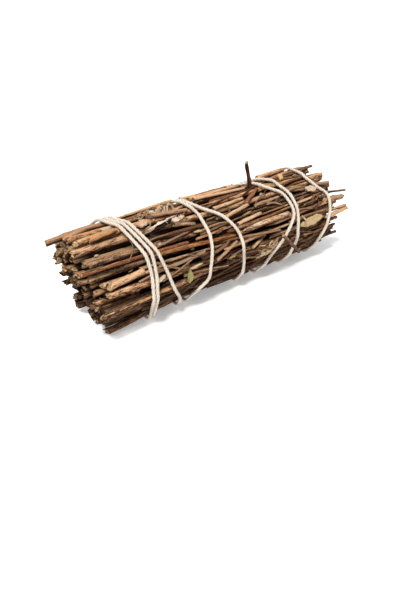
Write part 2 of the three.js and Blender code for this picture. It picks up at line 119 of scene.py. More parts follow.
world = bpy.data.worlds.new("pale sky")
world.use_nodes = True
world.node_tree.nodes["Background"].inputs["Color"].default_value = (1.0, 1.0, 1.0, 1.0)
world.node_tree.nodes["Background"].inputs["Strength"].default_value = SKY_STRENGTH
bpy.context.scene.world = world
bpy.context.scene.view_settings.view_transform = "Standard"
print("lights:", len(SUNS))

# %% [markdown]
# ## Shader sums written as sums
#
# A material is a graph of small nodes, and a graph is hard to read in a script. The class below wraps
# one output of a node, so that `1 - mask` or `mask * 0.5` adds the Math node that does it. Every node
# comes from one function, which takes its kind, its settings and the values or links of its sockets.

# %% Shader values


def join(tree, socket, value):
    """Links a value to a socket, or sets the socket to it where it is a plain number or colour."""
    if isinstance(value, Value):
        tree.links.new(value.socket, socket)
    else:
        socket.default_value = value


def add_node(tree, kind, sockets=(), output=0, stops=(), **settings):
    """A new node: its settings and a ramp's stops first, then its sockets, each by its name or number."""
    node = tree.nodes.new("ShaderNode" + kind)
    for name, value in settings.items():
        setattr(node, name, value)
    if stops:
        elements = node.color_ramp.elements
        while len(elements) < len(stops):
            elements.new(1.0)
        for element, (place, colour) in zip(elements, stops):
            element.position = place
            element.color = opaque(colour)
    for socket, value in dict(sockets).items():
        join(tree, node.inputs[socket], value)
    return Value(tree, node.outputs[output])


def opaque(colour):
    """A plain colour with its alpha, which a linked one has already."""
    return colour if isinstance(colour, Value) else (*colour, 1.0)


class Value:
    """One output of a shader node, which can be added, multiplied and so on."""

    def __init__(self, tree, socket):
        self.tree = tree
        self.socket = socket

    def math(self, operation, *others):
        return add_node(self.tree, "Math", enumerate((self, *others)), operation=operation)

    def __add__(self, other):
        return self.math("ADD", other)

    def __sub__(self, other):
        return self.math("SUBTRACT", other)

    def __rsub__(self, other):
        return (self * -1).math("ADD", other)

    def __mul__(self, other):
        return self.math("MULTIPLY", other)

    __radd__, __rmul__ = __add__, __mul__

    def above(self, low, high):
        """0 below low and 1 above high, with a smooth step between."""
        sockets = {"Value": self, "From Min": low, "From Max": high}
        return add_node(self.tree, "MapRange", sockets, interpolation_type="SMOOTHSTEP")

    def split(self, kind="XYZ"):
        """The three parts of a vector, or with Color those of a colour."""
        first = add_node(self.tree, "Separate" + kind, {0: self})
        return [Value(self.tree, output) for output in first.socket.node.outputs[:3]]


# %% Materials
MIX_SHARE, MIX_FIRST, MIX_SECOND, MIX_COLOUR = 0, 6, 7, 2  # where a Mix node has its sockets for colours


class Material:
    """A new material, with the kinds of node that this bundle needs."""

    def __init__(self, name):
        self.data = bpy.data.materials.new(name)
        self.data.use_nodes = True
        self.tree = self.data.node_tree
        self.shader = self.tree.nodes["Principled BSDF"]

    def attribute(self, name, output="Vector"):
        return add_node(self.tree, "Attribute", output=output, attribute_name=name)

    def scaled(self, vector, scale, offset=(0, 0, 0)):
        """A vector times a scale, axis by axis, plus an offset."""
        sockets = enumerate((vector, scale, offset))
        return add_node(self.tree, "VectorMath", sockets, operation="MULTIPLY_ADD")

    def noise(self, vector, scale, detail, roughness):
        sockets = {"Vector": vector, "Scale": scale, "Detail": detail, "Roughness": roughness}
        return add_node(self.tree, "TexNoise", sockets)

    def blend(self, share, first, second, mode="MIX"):
        """One colour, mixed towards another by a share from 0 to 1."""
        sockets = {MIX_SHARE: share, MIX_FIRST: opaque(first), MIX_SECOND: opaque(second)}
        return add_node(self.tree, "Mix", sockets, MIX_COLOUR, data_type="RGBA", blend_type=mode)

    def ramp(self, share, stops):
        """A colour that runs through the stops, each a place from 0 to 1 and a colour."""
        return add_node(self.tree, "ValToRGB", {0: share}, stops=stops)

    def set(self, **inputs):
        """Sets the shader's own plain values, with _ for the spaces in a socket's name."""
        for name, value in inputs.items():
            self.shader.inputs[name.replace("_", " ")].default_value = value

    def finish(self, colour, roughness, height=None, depth=0.0002, strength=1.0):
        """Sets the surface, with the height as a bump that is depth metres deep."""
        join(self.tree, self.shader.inputs["Base Color"], colour)
        join(self.tree, self.shader.inputs["Roughness"], roughness)
        if height is not None:
            sockets = {"Height": height, "Distance": depth, "Strength": strength}
            join(self.tree, self.shader.inputs["Normal"], add_node(self.tree, "Bump", sockets))
        return self.data


def floor_finish():
    """A white sheet lit a little from below, as on a light table, so that its shadows stay pale."""
    material = Material("pale floor")
    material.set(Emission_Color=(1.0, 1.0, 1.0, 1.0), Emission_Strength=0.30)
    return material.finish((0.90, 0.90, 0.90, 1.0), 0.9)


floor.data.materials.append(floor_finish())

# %% [markdown]
# ## Bark
#
# Dry bark is streaked along the twig, and a picture wrapped round it would have to be stretched to fit
# each one. Here every corner of a twig carries two attributes instead. `straight` is its place before the
# twig was bent: millimetres along it, and how far across it, where 1 is the bark and 0 the pith. So
# streaks run along the twig however it lies, and a cut end knows where its rings are. `tint` is how pale
# and how rusty the whole twig is, so that no two twigs match, and how much painted shade the corner
# gets, or below 0 how much painted highlight.

# %% Bark material
PEEL = 0.62  # how strong the bark's pattern is where it has peeled off
BARK_EDGE = 0.93  # from the pith at 0 to the bark at 1: the cut wood ends here


def cut_face(material, pattern, across, shade):
    """The end of a cut twig: dark pith, pale wood with rings and cracks, and the dark line of the bark."""
    rings = pattern((0.0, 3.0, 3.0), 2.0, 4.0, 0.7)
    wood = material.ramp(across + rings * 0.3 - 0.05, (
        (0.12, (0.06, 0.025, 0.012)),
        (0.26, (0.66, 0.39, 0.17)),
        (0.72, (0.94, 0.64, 0.35)),
        (0.95, (0.10, 0.045, 0.020)),
    ))
    cracks = pattern((0.0, 6.0, 1.6), 2.0, 3.0, 0.6)
    wood = material.blend(cracks.above(0.50, 0.60) * 0.9, wood, (0.05, 0.02, 0.010))
    return material.blend(shade.above(0.4, 0.7) * 0.6, wood, (0.09, 0.042, 0.020))


def bark_finish(name, dark, middle, light):
    """Bark in long streaks and short fibres, with rusty blotches, pale and dark specks and peeled spots."""
    material = Material(name)
    straight = material.attribute("straight")
    tint = material.attribute("tint", "Color")
    shade, warmth, depth = tint.split("Color")
    offset = material.scaled(tint, (61.0, 47.0, 0.0))

    def pattern(stretch, *noise):
        return material.noise(material.scaled(straight, stretch, offset), *noise)

    streaks = pattern((0.2, 1.1, 1.1), 1.4, 7.0, 0.72)
    fibres = pattern((0.25, 3.0, 3.0), 1.7, 4.0, 0.7)
    blotches = pattern((0.09, 0.5, 0.5), 1.3, 3.0, 0.5)
    specks = pattern((1.6, 3.0, 3.0), 2.2, 3.0, 0.6)
    # painted highlight: below 0, the third part of the tint makes the bark paler where it faces up and out
    painted_highlight = (depth * -1).math("MAXIMUM", 0.0)
    tone = streaks * 2.6 + fibres * 2.4 + shade * 0.65 + painted_highlight * fibres * 0.9 - 2.15
    deep = tuple(part * share for part, share in zip(middle, (0.40, 0.29, 0.22)))
    bark = material.ramp(tone, ((0.08, dark), (0.25, deep), (0.42, middle), (0.85, light)))
    rusty = material.blend(1.0, bark, (0.72, 0.48, 0.30), "MULTIPLY")
    bark = material.blend(warmth * blotches.above(0.38, 0.55), bark, rusty)
    bark = material.blend(specks.above(0.58, 0.67) * 0.7, bark, (0.78, 0.58, 0.40))
    bark = material.blend((1 - specks.above(0.34, 0.42)) * 0.7, bark, dark)
    peeled = (streaks * 0.6 + blotches * 0.5).above(PEEL, PEEL + 0.05)
    bark = material.blend(peeled * 0.85, bark, (0.58, 0.33, 0.13))
    sideways = material.scaled(straight, (0, 1, 1))
    across = add_node(material.tree, "VectorMath", {0: sideways}, "Value", operation="LENGTH")
    colour = material.blend(across.above(BARK_EDGE, 0.99), cut_face(material, pattern, across, shade), bark)
    # painted shade: above 0, the third part of the tint darkens the bark and the cut ends towards black
    colour = material.blend(depth.math("MAXIMUM", 0.0) * 0.95, colour, (0.010, 0.002, 0.001))
    material.set(Specular_IOR_Level=0.08)
    return material.finish(colour, 0.95 - streaks * 0.25, streaks * 0.7 + fibres * 0.3, 0.0008)


BARKS = {  # each bark's dark, middle and light colour
    "grey_bark": ((0.014, 0.005, 0.003), (0.225, 0.104, 0.050), (0.81, 0.53, 0.32)),
    "brown_bark": ((0.013, 0.004, 0.002), (0.258, 0.104, 0.040), (0.83, 0.51, 0.28)),
    "dark_bark": ((0.008, 0.003, 0.002), (0.130, 0.055, 0.031), (0.54, 0.32, 0.19)),
    "orange_bark": ((0.03, 0.008, 0.003), (0.36, 0.115, 0.030), (0.74, 0.36, 0.13)),
    "red_bark": ((0.016, 0.004, 0.003), (0.125, 0.030, 0.016), (0.34, 0.13, 0.06)),
    # the inner twigs' bark is darker than the others: painted shade for the inside of the bundle
    "cut_wood": ((0.010, 0.004, 0.002), (0.13, 0.062, 0.030), (0.52, 0.33, 0.17)),
}
MATERIAL_NAMES = {"cut_wood": "inner bark"}  # the others are called after their slots
bark_finishes = {}
for slot, colours in BARKS.items():
    bark_finishes[slot] = bark_finish(MATERIAL_NAMES.get(slot, slot.replace("_", " ")), *colours)
print("barks:", len(bark_finishes))

# %% [markdown]
# ## Corners as rows of numbers
#
# A twig has up to two thousand corners, and asking Blender for them one by one is slow. `foreach_get`
# and `foreach_set` pass them all at once, and numpy then moves every corner in one sum.

# %% Corners and their marks


def corners_of(mesh):
    """A mesh's corners as rows of x, y and z."""
    corners = np.empty(len(mesh.vertices) * 3)
    mesh.vertices.foreach_get("co", corners)
    return corners.reshape(-1, 3)


def move_corners(mesh, spots):
    mesh.vertices.foreach_set("co", spots.ravel())


def mark(mesh, name, rows):
    """Writes a row on each corner for the material to read: a vector, or a colour if it has four parts."""
    kind, field = ("FLOAT_COLOR", "color") if rows.shape[1] == 4 else ("FLOAT_VECTOR", "vector")
    layer = mesh.attributes.new(name, kind, "POINT")
    layer.data.foreach_set(field, rows.astype(np.float32).ravel())


# %% [markdown]
# ## Where each twig runs
#
# The solids already know where every twig lies. Each is a row of six-sided rings, and every ring stands
# square to X, so the corners that share one X are one ring. Its middle and its size are the twig's there.
# The inner twigs are one solid, but each of them is straight, and both its ends can be found.

# %% Read the twigs' lines
RING_CORNERS = 6
SAME_X = 1e-7
CORE_ENDS = (AXIS.x - 50.8 * MM, AXIS.x + 43.3 * MM)  # the inner twigs' end rings lie beyond these
OTHER_TWIGS = ("inner_twigs", "cross_twig")  # these two are read in their own ways


def node_corners(node):
    return np.unique(corners_of(frame["nodes"][node].data).round(8), axis=0)


def rings_of(corners):
    """The rings in a cloud of corners: each one's middle and radius, in order of X."""
    order = corners[np.argsort(corners[:, 0])]
    cuts = np.where(np.diff(order[:, 0]) > SAME_X)[0] + 1
    rings = [ring for ring in np.split(order, cuts) if len(ring) >= RING_CORNERS]
    middles = np.array([ring.mean(axis=0) for ring in rings])
    reaches = [np.linalg.norm(ring - middle, axis=1) for ring, middle in zip(rings, middles)]
    return middles, np.array([reach.mean() for reach in reaches])


def inner_lines():
    corners = node_corners("inner_twigs")
    butts, butt_radii = rings_of(corners[corners[:, 0] < CORE_ENDS[0]])
    tips, tip_radii = rings_of(corners[corners[:, 0] > CORE_ENDS[1]])
    lines = []
    for butt, butt_radius in zip(butts, butt_radii):
        match = np.argmin(np.linalg.norm(tips[:, 1:] - butt[1:], axis=1))
        lines.append((np.array([butt, tips[match]]), np.array([butt_radius, tip_radii[match]])))
    return lines


whole_twigs = sorted(node for node in frame["nodes"] if "_twig" in node and node not in OTHER_TWIGS)
twig_lines = {node: rings_of(node_corners(node)) for node in whole_twigs}
inner = inner_lines()
print("outer twigs:", len(twig_lines), "inner twigs:", len(inner))

# %% [markdown]
# ## Twine
#
# The route is a list of places on the surface, each a distance along the bundle and an angle round it.
# A taut cord drops onto the twigs and then spans each hollow in a straight line, which is how its
# distance from the axis is worked out.

# %% The twine's turns
BUNDLE_RADIUS = 18.2
TWINE_RADIUS = 0.75
START_TAIL = [[-29, 168], [-34, 166.5], [-40, 167], [-45, 163], [-48, 149], [-48, 125]]
TURNS = [  # [x, angle] in mm and degrees, each turn from the top over the front and down to the back
    [[-47.4, 101], [-46.3, 83], [-44.1, 61], [-42.1, 33], [-41.5, 15], [-42.0, -2], [-42.3, -12],
     [-42.0, -24], [-41.2, -45], [-41.0, -110], [-42.6, -190]],
    [[-45.5, 100], [-44.3, 83], [-42.1, 62], [-40.2, 37], [-39.8, 12], [-40.4, -2], [-40.7, -12],
     [-40.4, -24], [-39.5, -45], [-39.0, -110], [-40.5, -190]],
    [[-43.6, 101], [-42.4, 83], [-40.5, 64], [-38.1, 38], [-35.5, 15], [-33.2, -9], [-29.4, -31],
     [-27.4, -60], [-22.6, -160]],
    [[-16.7, 108], [-15.9, 83], [-14.7, 65], [-14.4, 44], [-14.8, 22], [-16.7, 0], [-17.5, -17],
     [-19.3, -23], [-21.8, -29], [-23.4, -44], [-22.8, -75], [-18.4, -160]],
    [[-14.9, 106], [-14.3, 84], [-11.3, 70], [-7.7, 60], [-3.9, 45], [-1.8, 30], [-1.5, 14], [-0.7, 0],
     [0.4, -20], [0.9, -45], [2.6, -90], [9.0, -200]],
    [[15.0, 106], [18.4, 92], [19.4, 79], [22.3, 70], [25.4, 61], [26.5, 49], [27.1, 36], [26.4, 27],
     [23.6, 16], [19.8, 1], [15.0, -15], [12.2, -38], [12.6, -90], [18.4, -200]],
    [[24.6, 105], [26.2, 87], [26.7, 73], [28.4, 61], [29.2, 45], [29.3, 36], [28.3, 22], [27.8, 8],
     [27.9, -10], [26.8, -32], [26.6, -90], [34.6, -180]],
    [[42.4, 111], [42.4, 92], [42.1, 72], [44.4, 55], [47.7, 40], [47.5, 28], [46.6, 14], [45.0, 0],
     [43.8, -14], [42.6, -32], [41.4, -90], [43.4, -140]],
]
END_TAIL = [[43.4, -166], [40.0, -181], [34.0, -185.5], [28.5, -186]]
TAIL_ANGLES = (158, -176)  # the start tail lies past the first of these, and the end tail past the second
print("turns of twine:", len(TURNS))

# %% The route as a smooth curve
CURVE_STEPS = 60  # places worked out between two points of the route


def along_line(points):
    """How far along a line each of its points lies."""
    return np.concatenate([[0], np.cumsum(np.linalg.norm(np.diff(points, axis=0), axis=1))])


def spots_along(points, along, wanted):
    """The places on a line at the wanted distances along it."""
    return np.stack([np.interp(wanted, along, column) for column in points.T], axis=1)


def rounded_route(route, spacing):
    """A route as evenly spaced places on a smooth curve through its points: x, and the angle in degrees."""
    knots = np.array([[x, math.radians(angle) * BUNDLE_RADIUS] for x, angle in route])
    knots = np.vstack([2 * knots[0] - knots[1], knots, 2 * knots[-1] - knots[-2]])
    t = np.linspace(0, 1, CURVE_STEPS, endpoint=False)[:, None]
    pieces = []
    for a, b, c, d in zip(knots, knots[1:], knots[2:], knots[3:]):
        first, middle, last = (np.linalg.norm(q - p) ** 0.5 for p, q in ((a, b), (b, c), (c, d)))
        leave = ((b - a) / first - (c - a) / (first + middle) + (c - b) / middle) * middle
        arrive = ((c - b) / middle - (d - b) / (middle + last) + (d - c) / last) * middle
        bend, twist = 3 * (c - b) - 2 * leave - arrive, 2 * (b - c) + leave + arrive
        pieces.append(b + leave * t + bend * t**2 + twist * t**3)
    curve = np.vstack([*pieces, knots[-2]])
    along = along_line(curve)
    even = np.linspace(0, along[-1], round(along[-1] / spacing) + 1)
    x, round_it = spots_along(curve, along, even).T
    return x, np.degrees(round_it / BUNDLE_RADIUS)


# %% [markdown]
# ## What things lie on
#
# The twine, and later the thin twigs and the shreds, have to lie on the twigs without sinking in. A
# shrinkwrap modifier could do that, but it would follow every hollow, and a taut cord spans them. So each
# twig is also kept as a rod: a row of numbers with its middle and radius, every half millimetre.

# %% How far out the twigs reach
GRID_STEP = 0.5
GRID = np.arange(-70, 70, GRID_STEP)  # mm along the bundle
ROD_OVERHANG = 0.6  # mm that a rod reaches past its ends
NOTHING = -99.0  # a rod's radius where it has ended
axis_mm = np.array(AXIS) / MM


def rod(points, radii):
    """A twig or a tail as a row: its y, z and radius in mm at each place of the grid."""
    row = np.stack([np.interp(GRID, points[:, 0], value) for value in (points[:, 1], points[:, 2], radii)])
    row[2, (GRID < points[0, 0] - ROD_OVERHANG) | (GRID > points[-1, 0] + ROD_OVERHANG)] = NOTHING
    return row


def rods_of(lines):
    """The rods of lines in metres."""
    return np.array([rod(points / MM - axis_mm, radii / MM) for points, radii in lines])


def in_metres(points):
    """Points in mm from the bundle's axis as places in the scene."""
    return (points + axis_mm) * MM


def at_angle(x, angle, out):
    """Points in mm from the axis: how far along the bundle, how far round it and how far out."""
    return np.stack([x, -np.cos(np.radians(angle)) * out, np.sin(np.radians(angle)) * out], axis=1)


def surface_radius(rods, x, angle, reach):
    """How far out a point must lie to stay reach away from every rod."""
    away_y, away_z = -np.cos(np.radians(angle)), np.sin(np.radians(angle))
    place = (x - GRID[0]) / GRID_STEP
    before = place.astype(int)
    share = place - before
    y, z, radius = np.moveaxis(rods[:, :, before] * (1 - share) + rods[:, :, before + 1] * share, 1, 0)
    clear = (radius + reach) ** 2 - (y * away_z - z * away_y) ** 2
    near = (radius > 0) & (clear > 0)
    return np.where(near, y * away_y + z * away_z + np.sqrt(np.maximum(clear, 0)), 0).max(axis=0)


# %% Pull the route taut
TWINE_GAP = 0.34  # mm that the twine clears the plain twigs by, because the finished ones are furrowed
TAUT_REACH = 22  # mm of twine that can span a hollow
TWINE_STEP = 0.6  # mm between the places where the route is worked out
REACH = TWINE_RADIUS + TWINE_GAP


def pulled_taut(angle, out, reach):
    """How far out each point is once the line spans its hollows, up to reach points wide."""
    y, z = -np.cos(np.radians(angle)) * out, np.sin(np.radians(angle)) * out
    taut = out.copy()
    count = len(out)
    for span in range(2, min(reach, count)):
        for step in range(1, span):
            share = step / span
            mid_y = y[: count - span] * (1 - share) + y[span:] * share
            mid_z = z[: count - span] * (1 - share) + z[span:] * share
            inside = slice(step, count - span + step)
            taut[inside] = np.maximum(taut[inside], np.hypot(mid_y, mid_z))
    return taut


def taut_route(route, rods_at, spacing):
    """The route's points in mm, dropped onto the rods and pulled taut."""
    x, angle = rounded_route(route, spacing)
    return at_angle(x, angle, pulled_taut(angle, rods_at(x, angle), round(TAUT_REACH / spacing)))


def tail_rod(points):
    """A tail of the twine as one straight rod along x, which later turns pass over."""
    share = ((points[:, 0] - points[0, 0]) / (points[-1, 0] - points[0, 0]))[:, None]
    bulge = np.linalg.norm((points - points[0] * (1 - share) - points[-1] * share)[:, 1:], axis=1).max()
    ends = points[[0, -1]] if points[0, 0] < points[-1, 0] else points[[-1, 0]]
    return rod(ends, np.full(2, TWINE_RADIUS + bulge))


twig_rods = rods_of([*twig_lines.values(), *inner])


def on_twigs(x, angle):
    return surface_radius(twig_rods, x, angle, REACH)


tail_rods = np.array([tail_rod(taut_route(tail, on_twigs, 1)) for tail in (START_TAIL[:3], END_TAIL[1:])])
twigs_and_tails = np.concatenate([twig_rods, tail_rods])
last_turn = -360 * (len(TURNS) - 1)


def on_twigs_and_tails(x, angle):
    over = surface_radius(twigs_and_tails, x, angle, REACH)
    is_tail = (angle > TAIL_ANGLES[0]) | (angle < last_turn + TAIL_ANGLES[1])
    return np.where(is_tail, on_twigs(x, angle), over)


turns = [[x, angle - 360 * k] for k, turn in enumerate(TURNS) for x, angle in turn]
foot = [[x, angle + last_turn] for x, angle in END_TAIL]
twine_line = taut_route([*START_TAIL, *turns, *foot], on_twigs_and_tails, TWINE_STEP) + axis_mm
print("twine: mm long", round(float(np.linalg.norm(np.diff(twine_line, axis=0), axis=1).sum())))

# %% [markdown]
# ## One twig, modelled once
#
# A twig starts as a cylinder: its long edges are subdivided into many short steps, and its two ends are
# inset, so that they can show bark, wood and pith. Nobody would draw hundreds of twigs one by one, so this
# one is copied for every twig of the bundle, and each copy's own mesh is bent along its line.

# %% The straight twig
INSETS = (0.1, 0.5)  # of the radius: the edge of the bark, and then the wood round the pith


def select_only(*pieces):
    bpy.ops.object.select_all(action="DESELECT")
    for piece in pieces:
        piece.select_set(True)
    bpy.context.view_layer.objects.active = pieces[0]


def edit_only(mesh, kind, parts, wanted):
    """Goes into edit mode with only the wanted edges or faces selected."""
    bpy.ops.object.mode_set(mode="EDIT")
    bpy.ops.mesh.select_mode(type=kind)
    bpy.ops.mesh.select_all(action="DESELECT")
    bpy.ops.object.mode_set(mode="OBJECT")
    for part in getattr(mesh, parts):
        part.select = wanted(part)
    bpy.ops.object.mode_set(mode="EDIT")


def straight_twig(name, sides, steps):
    """A twig of radius 1 from x = 0 to x = 1."""
    bpy.ops.object.select_all(action="DESELECT")
    bpy.ops.mesh.primitive_cylinder_add(vertices=sides, radius=1, depth=1, rotation=(0, math.pi / 2, 0))
    twig = bpy.context.object
    twig.name = name
    bpy.ops.object.transform_apply(location=False, rotation=True, scale=False)
    mesh = twig.data
    mesh["rings"] = steps + 1

    def runs_along(edge):
        first, second = (mesh.vertices[corner].co.x for corner in edge.vertices)
        return abs(first - second) > 0.5

    edit_only(mesh, "EDGE", "edges", runs_along)
    bpy.ops.mesh.subdivide(number_cuts=steps - 1)
    edit_only(mesh, "FACE", "polygons", lambda face: abs(face.normal.x) > 0.9)
    for inset in INSETS:
        bpy.ops.mesh.inset(thickness=inset, use_individual=True)
    bpy.ops.mesh.poke()
    bpy.ops.object.mode_set(mode="OBJECT")
    move_corners(mesh, corners_of(mesh) + (0.5, 0, 0))
    bpy.data.objects.remove(twig)
    print(name, "corners:", len(mesh.vertices))
    return mesh


FINE_TWIG = straight_twig("fine twig", 18, 100)
PLAIN_TWIG = straight_twig("plain twig", 12, 44)
THIN_TWIG = straight_twig("thin twig", 9, 26)

# %% [markdown]
# ## Bending the straight twig
#
# A twig's line is only a few points. It is rounded off first, and then every ring of the straight twig
# is moved to its place on the line and turned square to it. A curve modifier could bend it too, but the
# material has to know where each corner was while the twig was straight, so the sums are made here.

# %% A twig's line and the directions square to it
ROUNDING = 16  # a corner is rounded off over this part of the line


def rounded_line(points, radii, count):
    """The line as count evenly spaced points, with its corners rounded off, and the radius at each."""
    along = along_line(points)
    even = np.linspace(0, along[-1], count)
    line = spots_along(points, along, even)
    reach = max(count // ROUNDING, 1)
    kernel = np.hanning(2 * reach + 1)[1:-1]
    steps = np.arange(1, reach)[:, None]
    before = line[0] - (line[1] - line[0]) * steps[::-1]
    after = line[-1] + (line[-1] - line[-2]) * steps
    columns = np.vstack([before, line, after]).T
    line = np.stack([np.convolve(column, kernel / kernel.sum(), "valid") for column in columns], axis=1)
    return line, np.interp(even, along, radii), even


def turned_frames(line):
    """At each point of a line, two directions square to it and to each other that don't spin."""
    tangents = np.gradient(line, axis=0)
    tangents /= np.linalg.norm(tangents, axis=1)[:, None]
    side = np.cross(tangents[0], (0.0, 0.0, 1.0) if abs(tangents[0][2]) < 0.9 else (1.0, 0.0, 0.0))
    sides = []
    for tangent in tangents:
        side = side - tangent * side.dot(tangent)
        side = side / np.linalg.norm(side)
        sides.append(side)
    sides = np.array(sides)
    return sides, np.cross(tangents, sides)


# %% [markdown]
# ## Furrows, buds and torn ends
#
# A dry twig is never round. A few slow waves round its girth make the furrows, each bud scar swells it
# for a millimetre or two, and its ends are cut or torn at a slant. A displacement texture could do the
# furrows, but these waves run along the twig however it is bent, and cost no extra corners.

# %% Furrows, buds and torn ends
ANY_WAY = 6.3  # radians: at most a full turn round the twig
ANY_PHASE = 6  # radians: about a full wave
SAME_PLACE = 1e-4


def furrows(turns, along_mm, random, depth):
    """How far each corner stands in or out, as a share of the radius."""
    relief = np.zeros_like(turns)
    for waves in (1, 2, 3, 5, 7):
        drift = random.normal(0, 0.05) * along_mm
        drift += 0.7 * np.sin(along_mm * random.uniform(0.1, 0.3) + random.uniform(0, ANY_PHASE))
        size = depth * random.uniform(0.5, 1.0) / waves**0.5
        relief += size * np.sin(waves * turns + drift + random.uniform(0, ANY_WAY))
    relief += depth * 0.5 * np.sin(along_mm * random.uniform(0.7, 1.3) + 2 * turns)
    return relief


def bud_scars(turns, along_mm, random, spacing):
    """How far the bud scars swell each corner, as a share of the radius."""
    swell = np.zeros_like(turns)
    scar = random.uniform(0, spacing)
    while scar < along_mm.max():
        facing = random.uniform(0, ANY_WAY)
        bump = np.exp(-(((along_mm - scar) / random.uniform(0.9, 1.6)) ** 2))
        swell += bump * (0.07 + 0.13 * np.maximum(np.cos(turns - facing), 0) ** 3)
        scar += spacing * random.uniform(0.6, 1.4)
    return swell


def torn_ends(corners, girth, torn, random):
    """How far each corner of the two end faces moves along the twig: a slanting cut, and its splinters."""
    turns = np.arctan2(corners[:, 2], corners[:, 1])
    across = np.hypot(corners[:, 1], corners[:, 2])
    at_butt, at_tip = corners[:, 0] < SAME_PLACE, corners[:, 0] > 1 - SAME_PLACE
    shift = np.zeros_like(turns)
    for at_end, radius, share in ((at_butt, girth[0], torn[0]), (at_tip, girth[-1], torn[1])):
        slant = np.cos(turns - random.uniform(0, ANY_WAY)) * across * random.uniform(0.0, 0.9)
        splinters = random.uniform(-1, 1, len(corners)) * share * (0.3 + 0.7 * across)
        shift += (slant + splinters) * radius * at_end
    return shift


# %% [markdown]
# ## Painted shade and highlights
#
# Between the twigs of the real bundle it is dark: hardly any light gets in. The lamps alone leave the
# hollows too pale, so shade is painted into the bark, and each corner knows how deep it lies and which
# way it faces. The third part of its tint is above 0 where shade is painted on the bark, and below 0 on
# the upper edges that face up and out, where a highlight is painted.

# %% Painted shade and highlights
SHADED_FROM = 17.0  # mm from the axis: the bark that lies deeper is painted dark, as shade
SHADED_DEPTH = 3.4
NEIGHBOURS = 1.9  # mm round a spot in which the ends of other twigs count as its neighbours
LIGHT_REACH = 1.4  # mm that the light reaches in between the ends
BARK_START, CUT_START = 1.2, -0.5  # mm by which the shade sets in earlier on bark than on a cut end
TURNED_AWAY = 0.46  # of the girth: what faces the bundle's inside more than this gets painted shade too
SIDE_SHADE_SLOPE, SIDE_SHADE_MOST = 1.3, 0.95  # how fast the painted shade grows from there, and how dark at most
# painted shade: the bark is darker towards the bottom of the bundle
LOW_SHADE_START, LOW_SHADE_SLOPE, LOW_SHADE_MOST = 0.26, 0.045, 0.65  # at the axis, for each mm below it, at most
HIGHLIGHT_FROM = 0.70  # what faces outwards more than this gets a painted highlight and is paler
UPWARD = 0.8  # how much upwards counts as outwards: painted shade below, painted highlights on top
twig_ends = np.array([[points[0], points[-1]] for points, _ in (*twig_lines.values(), *inner)])


def behind_ends(spots, head_start):
    """How far in a spot lies behind the ends of the twigs round it: 0 in the light, 1 in the dark."""
    apart = ((spots[:, None, 1:] - twig_ends[None, :, 0, 1:]) ** 2).sum(axis=2)
    weight = np.exp(-apart / (2 * (NEIGHBOURS * MM) ** 2)) + 1e-12
    butt, tip = ((weight * twig_ends[:, end, 0]).sum(axis=1) / weight.sum(axis=1) for end in (0, 1))
    inside = np.minimum(spots[:, 0] - butt, tip - spots[:, 0]) / MM
    return np.clip((inside + head_start) / LIGHT_REACH, 0, 1)


def from_axis(spots):
    """From the bundle's axis straight out to each spot."""
    away = spots - np.array([0, AXIS.y, AXIS.z])
    away[:, 0] = 0
    return away


def painted_shade_and_highlight(spots, middles, reach, is_bark):
    """The shade painted on each corner, 0 to 1, or below 0 the highlight. A twig's middles lie along its
    pith.
    """
    away = from_axis(spots)
    out = np.linalg.norm(away, axis=1)
    toward = away / out[:, None] + np.array([0, 0, UPWARD])
    toward /= np.linalg.norm(toward, axis=1)[:, None]
    facing = ((spots - middles) * toward).sum(axis=1) / np.maximum(reach, 1e-9)
    # painted shade on the side of each twig that is turned in or down
    side_shade = np.clip((TURNED_AWAY - facing) * SIDE_SHADE_SLOPE, 0, SIDE_SHADE_MOST) * is_bark
    # painted highlight on the side of each twig that faces up and out
    painted_highlight = np.clip((facing - HIGHLIGHT_FROM) * 3, 0, 1) * is_bark
    head_start = np.where(is_bark, BARK_START, CUT_START)
    # painted shade in the hollows between the twigs and behind the ends round them
    deep = np.clip((SHADED_FROM - out / MM) / SHADED_DEPTH, 0, 1) * behind_ends(spots, head_start)
    # painted shade that grows towards the bottom
    under = np.clip(LOW_SHADE_START - (spots[:, 2] - AXIS.z) / MM * LOW_SHADE_SLOPE, 0, LOW_SHADE_MOST)
    inside = np.maximum(deep, side_shade)
    in_the_open = np.where(under > painted_highlight * 0.5, under, -painted_highlight)
    return np.where(inside > 0, 1 - (1 - inside) * (1 - under), in_the_open)


# %% [markdown]
# ## Growing a twig
#
# Everything comes together here: the straight twig is copied, bent, furrowed, torn at its ends and marked
# for its material. The kinds of twig differ only in how rough they are, how close their buds sit and how
# torn their ends are. Thin twigs with one bark are joined into one piece, so that there are few pieces.

# %% Grow one twig
GROWTH = {  # how rough each kind is, the mm between its buds, and how torn its butt and its tip are
    "outer": (0.055, 14.0, (0.4, 0.3)),
    "shoot": (0.055, 4.5, (0.15, 0.15)),
    "over the twine": (0.055, 5.0, (0.15, 0.15)),
    "stick": (0.08, 6.0, (0.4, 0.4)),
    "thin": (0.07, 7.0, (0.4, 0.4)),
    "stub": (0.08, 9.0, (0.5, 0.5)),
    "inner": (0.09, 9.0, (0.6, 0.3)),
    "filler": (0.09, 6.0, (0.7, 0.3)),
    "rootlet": (0.05, 9.0, (0.1, 0.1)),
}
GIRTH_EDGE = 0.95  # of the straight twig's radius: what lies further out is bark


